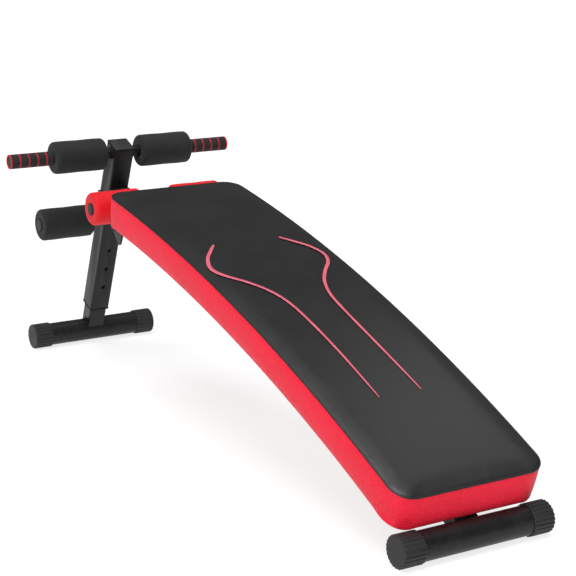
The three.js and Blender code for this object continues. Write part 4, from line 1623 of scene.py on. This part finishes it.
@dataclass
class Stage:
    """The pale floor, the soft lights and the camera."""

    camera_place: tuple[float, float, float] = (2.948, -1.66663, 1.13614)
    azimuth: float = 58.96
    elevation: float = 13.75
    focal_length: float = 101.44
    sensor: float = 36.0

    def build_camera(self) -> None:
        """Makes the camera from its place and its two viewing angles."""
        data = bpy.data.cameras.new("camera")
        data.lens = self.focal_length
        data.sensor_width = self.sensor
        camera = bpy.data.objects.new("camera", data)
        turn = Matrix.Rotation(math.radians(self.azimuth), 4, "Z")
        tilt = Matrix.Rotation(math.radians(90 - self.elevation), 4, "X")
        camera.matrix_world = Matrix.Translation(Vector(self.camera_place)) @ turn @ tilt
        bpy.context.scene.collection.objects.link(camera)
        bpy.context.scene.camera = camera

    def build_floor(self) -> None:
        """Makes the plain pale floor as a wide grid."""
        reach = np.linspace(-60, 60, 5)
        x, y = np.meshgrid(reach, reach, indexing="ij")
        floor = make_object("floor", grid(np.stack([x, y, 0 * x - 0.0006], -1)).turned_outwards(
            np.array([0, 0, -1.0])), closed=False)
        material = bpy.data.materials.new("pale_floor")
        material.use_nodes = True
        shader = material.node_tree.nodes["Principled BSDF"]
        shader.inputs["Base Color"].default_value = (0.28, 0.28, 0.28, 1)
        shader.inputs["Emission Color"].default_value = (1, 1, 1, 1)
        shader.inputs["Emission Strength"].default_value = 0.76
        shader.inputs["Roughness"].default_value = 0.9
        shader.inputs["Specular IOR Level"].default_value = 0.1
        floor.data.materials.append(material)

    def add_area(self, name: str, place: tuple, aim: tuple, size: tuple[float, float], power: float) -> None:
        """Adds a soft rectangular light.

        Args:
            name: the light's name.
            place: where it stands.
            aim: the point that it faces.
            size: its width and height.
            power: its power in watts.
        """
        data = bpy.data.lights.new(name, "AREA")
        data.shape = "RECTANGLE"
        data.size, data.size_y = size
        data.energy = power
        light = bpy.data.objects.new(name, data)
        facing = (Vector(aim) - Vector(place)).to_track_quat("-Z", "Y")
        light.matrix_world = Matrix.Translation(Vector(place)) @ facing.to_matrix().to_4x4()
        bpy.context.scene.collection.objects.link(light)

    def add_sun(self, name: str, origin: tuple[float, float, float], strength: float, spread: float) -> None:
        """Adds a distant light.

        Args:
            name: the light's name.
            origin: the direction that it shines from.
            strength: its strength in watts per square metre.
            spread: its width in degrees.
        """
        data = bpy.data.lights.new(name, "SUN")
        data.energy = strength
        data.angle = math.radians(spread)
        light = bpy.data.objects.new(name, data)
        light.matrix_world = Vector(origin).to_track_quat("Z", "Y").to_matrix().to_4x4()
        bpy.context.scene.collection.objects.link(light)

    def build_lights(self) -> None:
        """Makes the dim even surround, two wide distant lights and a small soft one over the pad."""
        world = bpy.data.worlds.new("surround")
        world.use_nodes = True
        world.node_tree.nodes["Background"].inputs["Color"].default_value = (1, 1, 1, 1)
        world.node_tree.nodes["Background"].inputs["Strength"].default_value = 0.16
        bpy.context.scene.world = world
        bpy.context.scene.view_settings.view_transform = "Standard"
        self.add_sun("overhead", (0.10, -0.16, 1.0), 3.1, 44)
        self.add_sun("front_left", (0.62, -0.66, 0.34), 1.55, 30)
        self.add_area("pad_sheen", (0.36, 0.78, 1.20), (0.70, 0.10, 0.20), (0.7, 0.5), 1.6)

    def build(self) -> None:
        """Builds the stage."""
        self.build_camera()
        self.build_floor()
        self.build_lights()


def main() -> None:
    """Builds the bench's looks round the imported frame."""
    logging.basicConfig(level=logging.INFO, format="%(message)s")
    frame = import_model()
    Stage().build()
    shop = Workshop(frame, Finishes())
    Pad(shop).build()
    FoamRollers(shop).build()
    Grips(shop).build()
    Feet(shop).build()
    Bars(shop).build()
    work = FrameWork(shop)
    work.build()
    work.dress_kept_nodes()


if __name__ == "__main__":
    main()
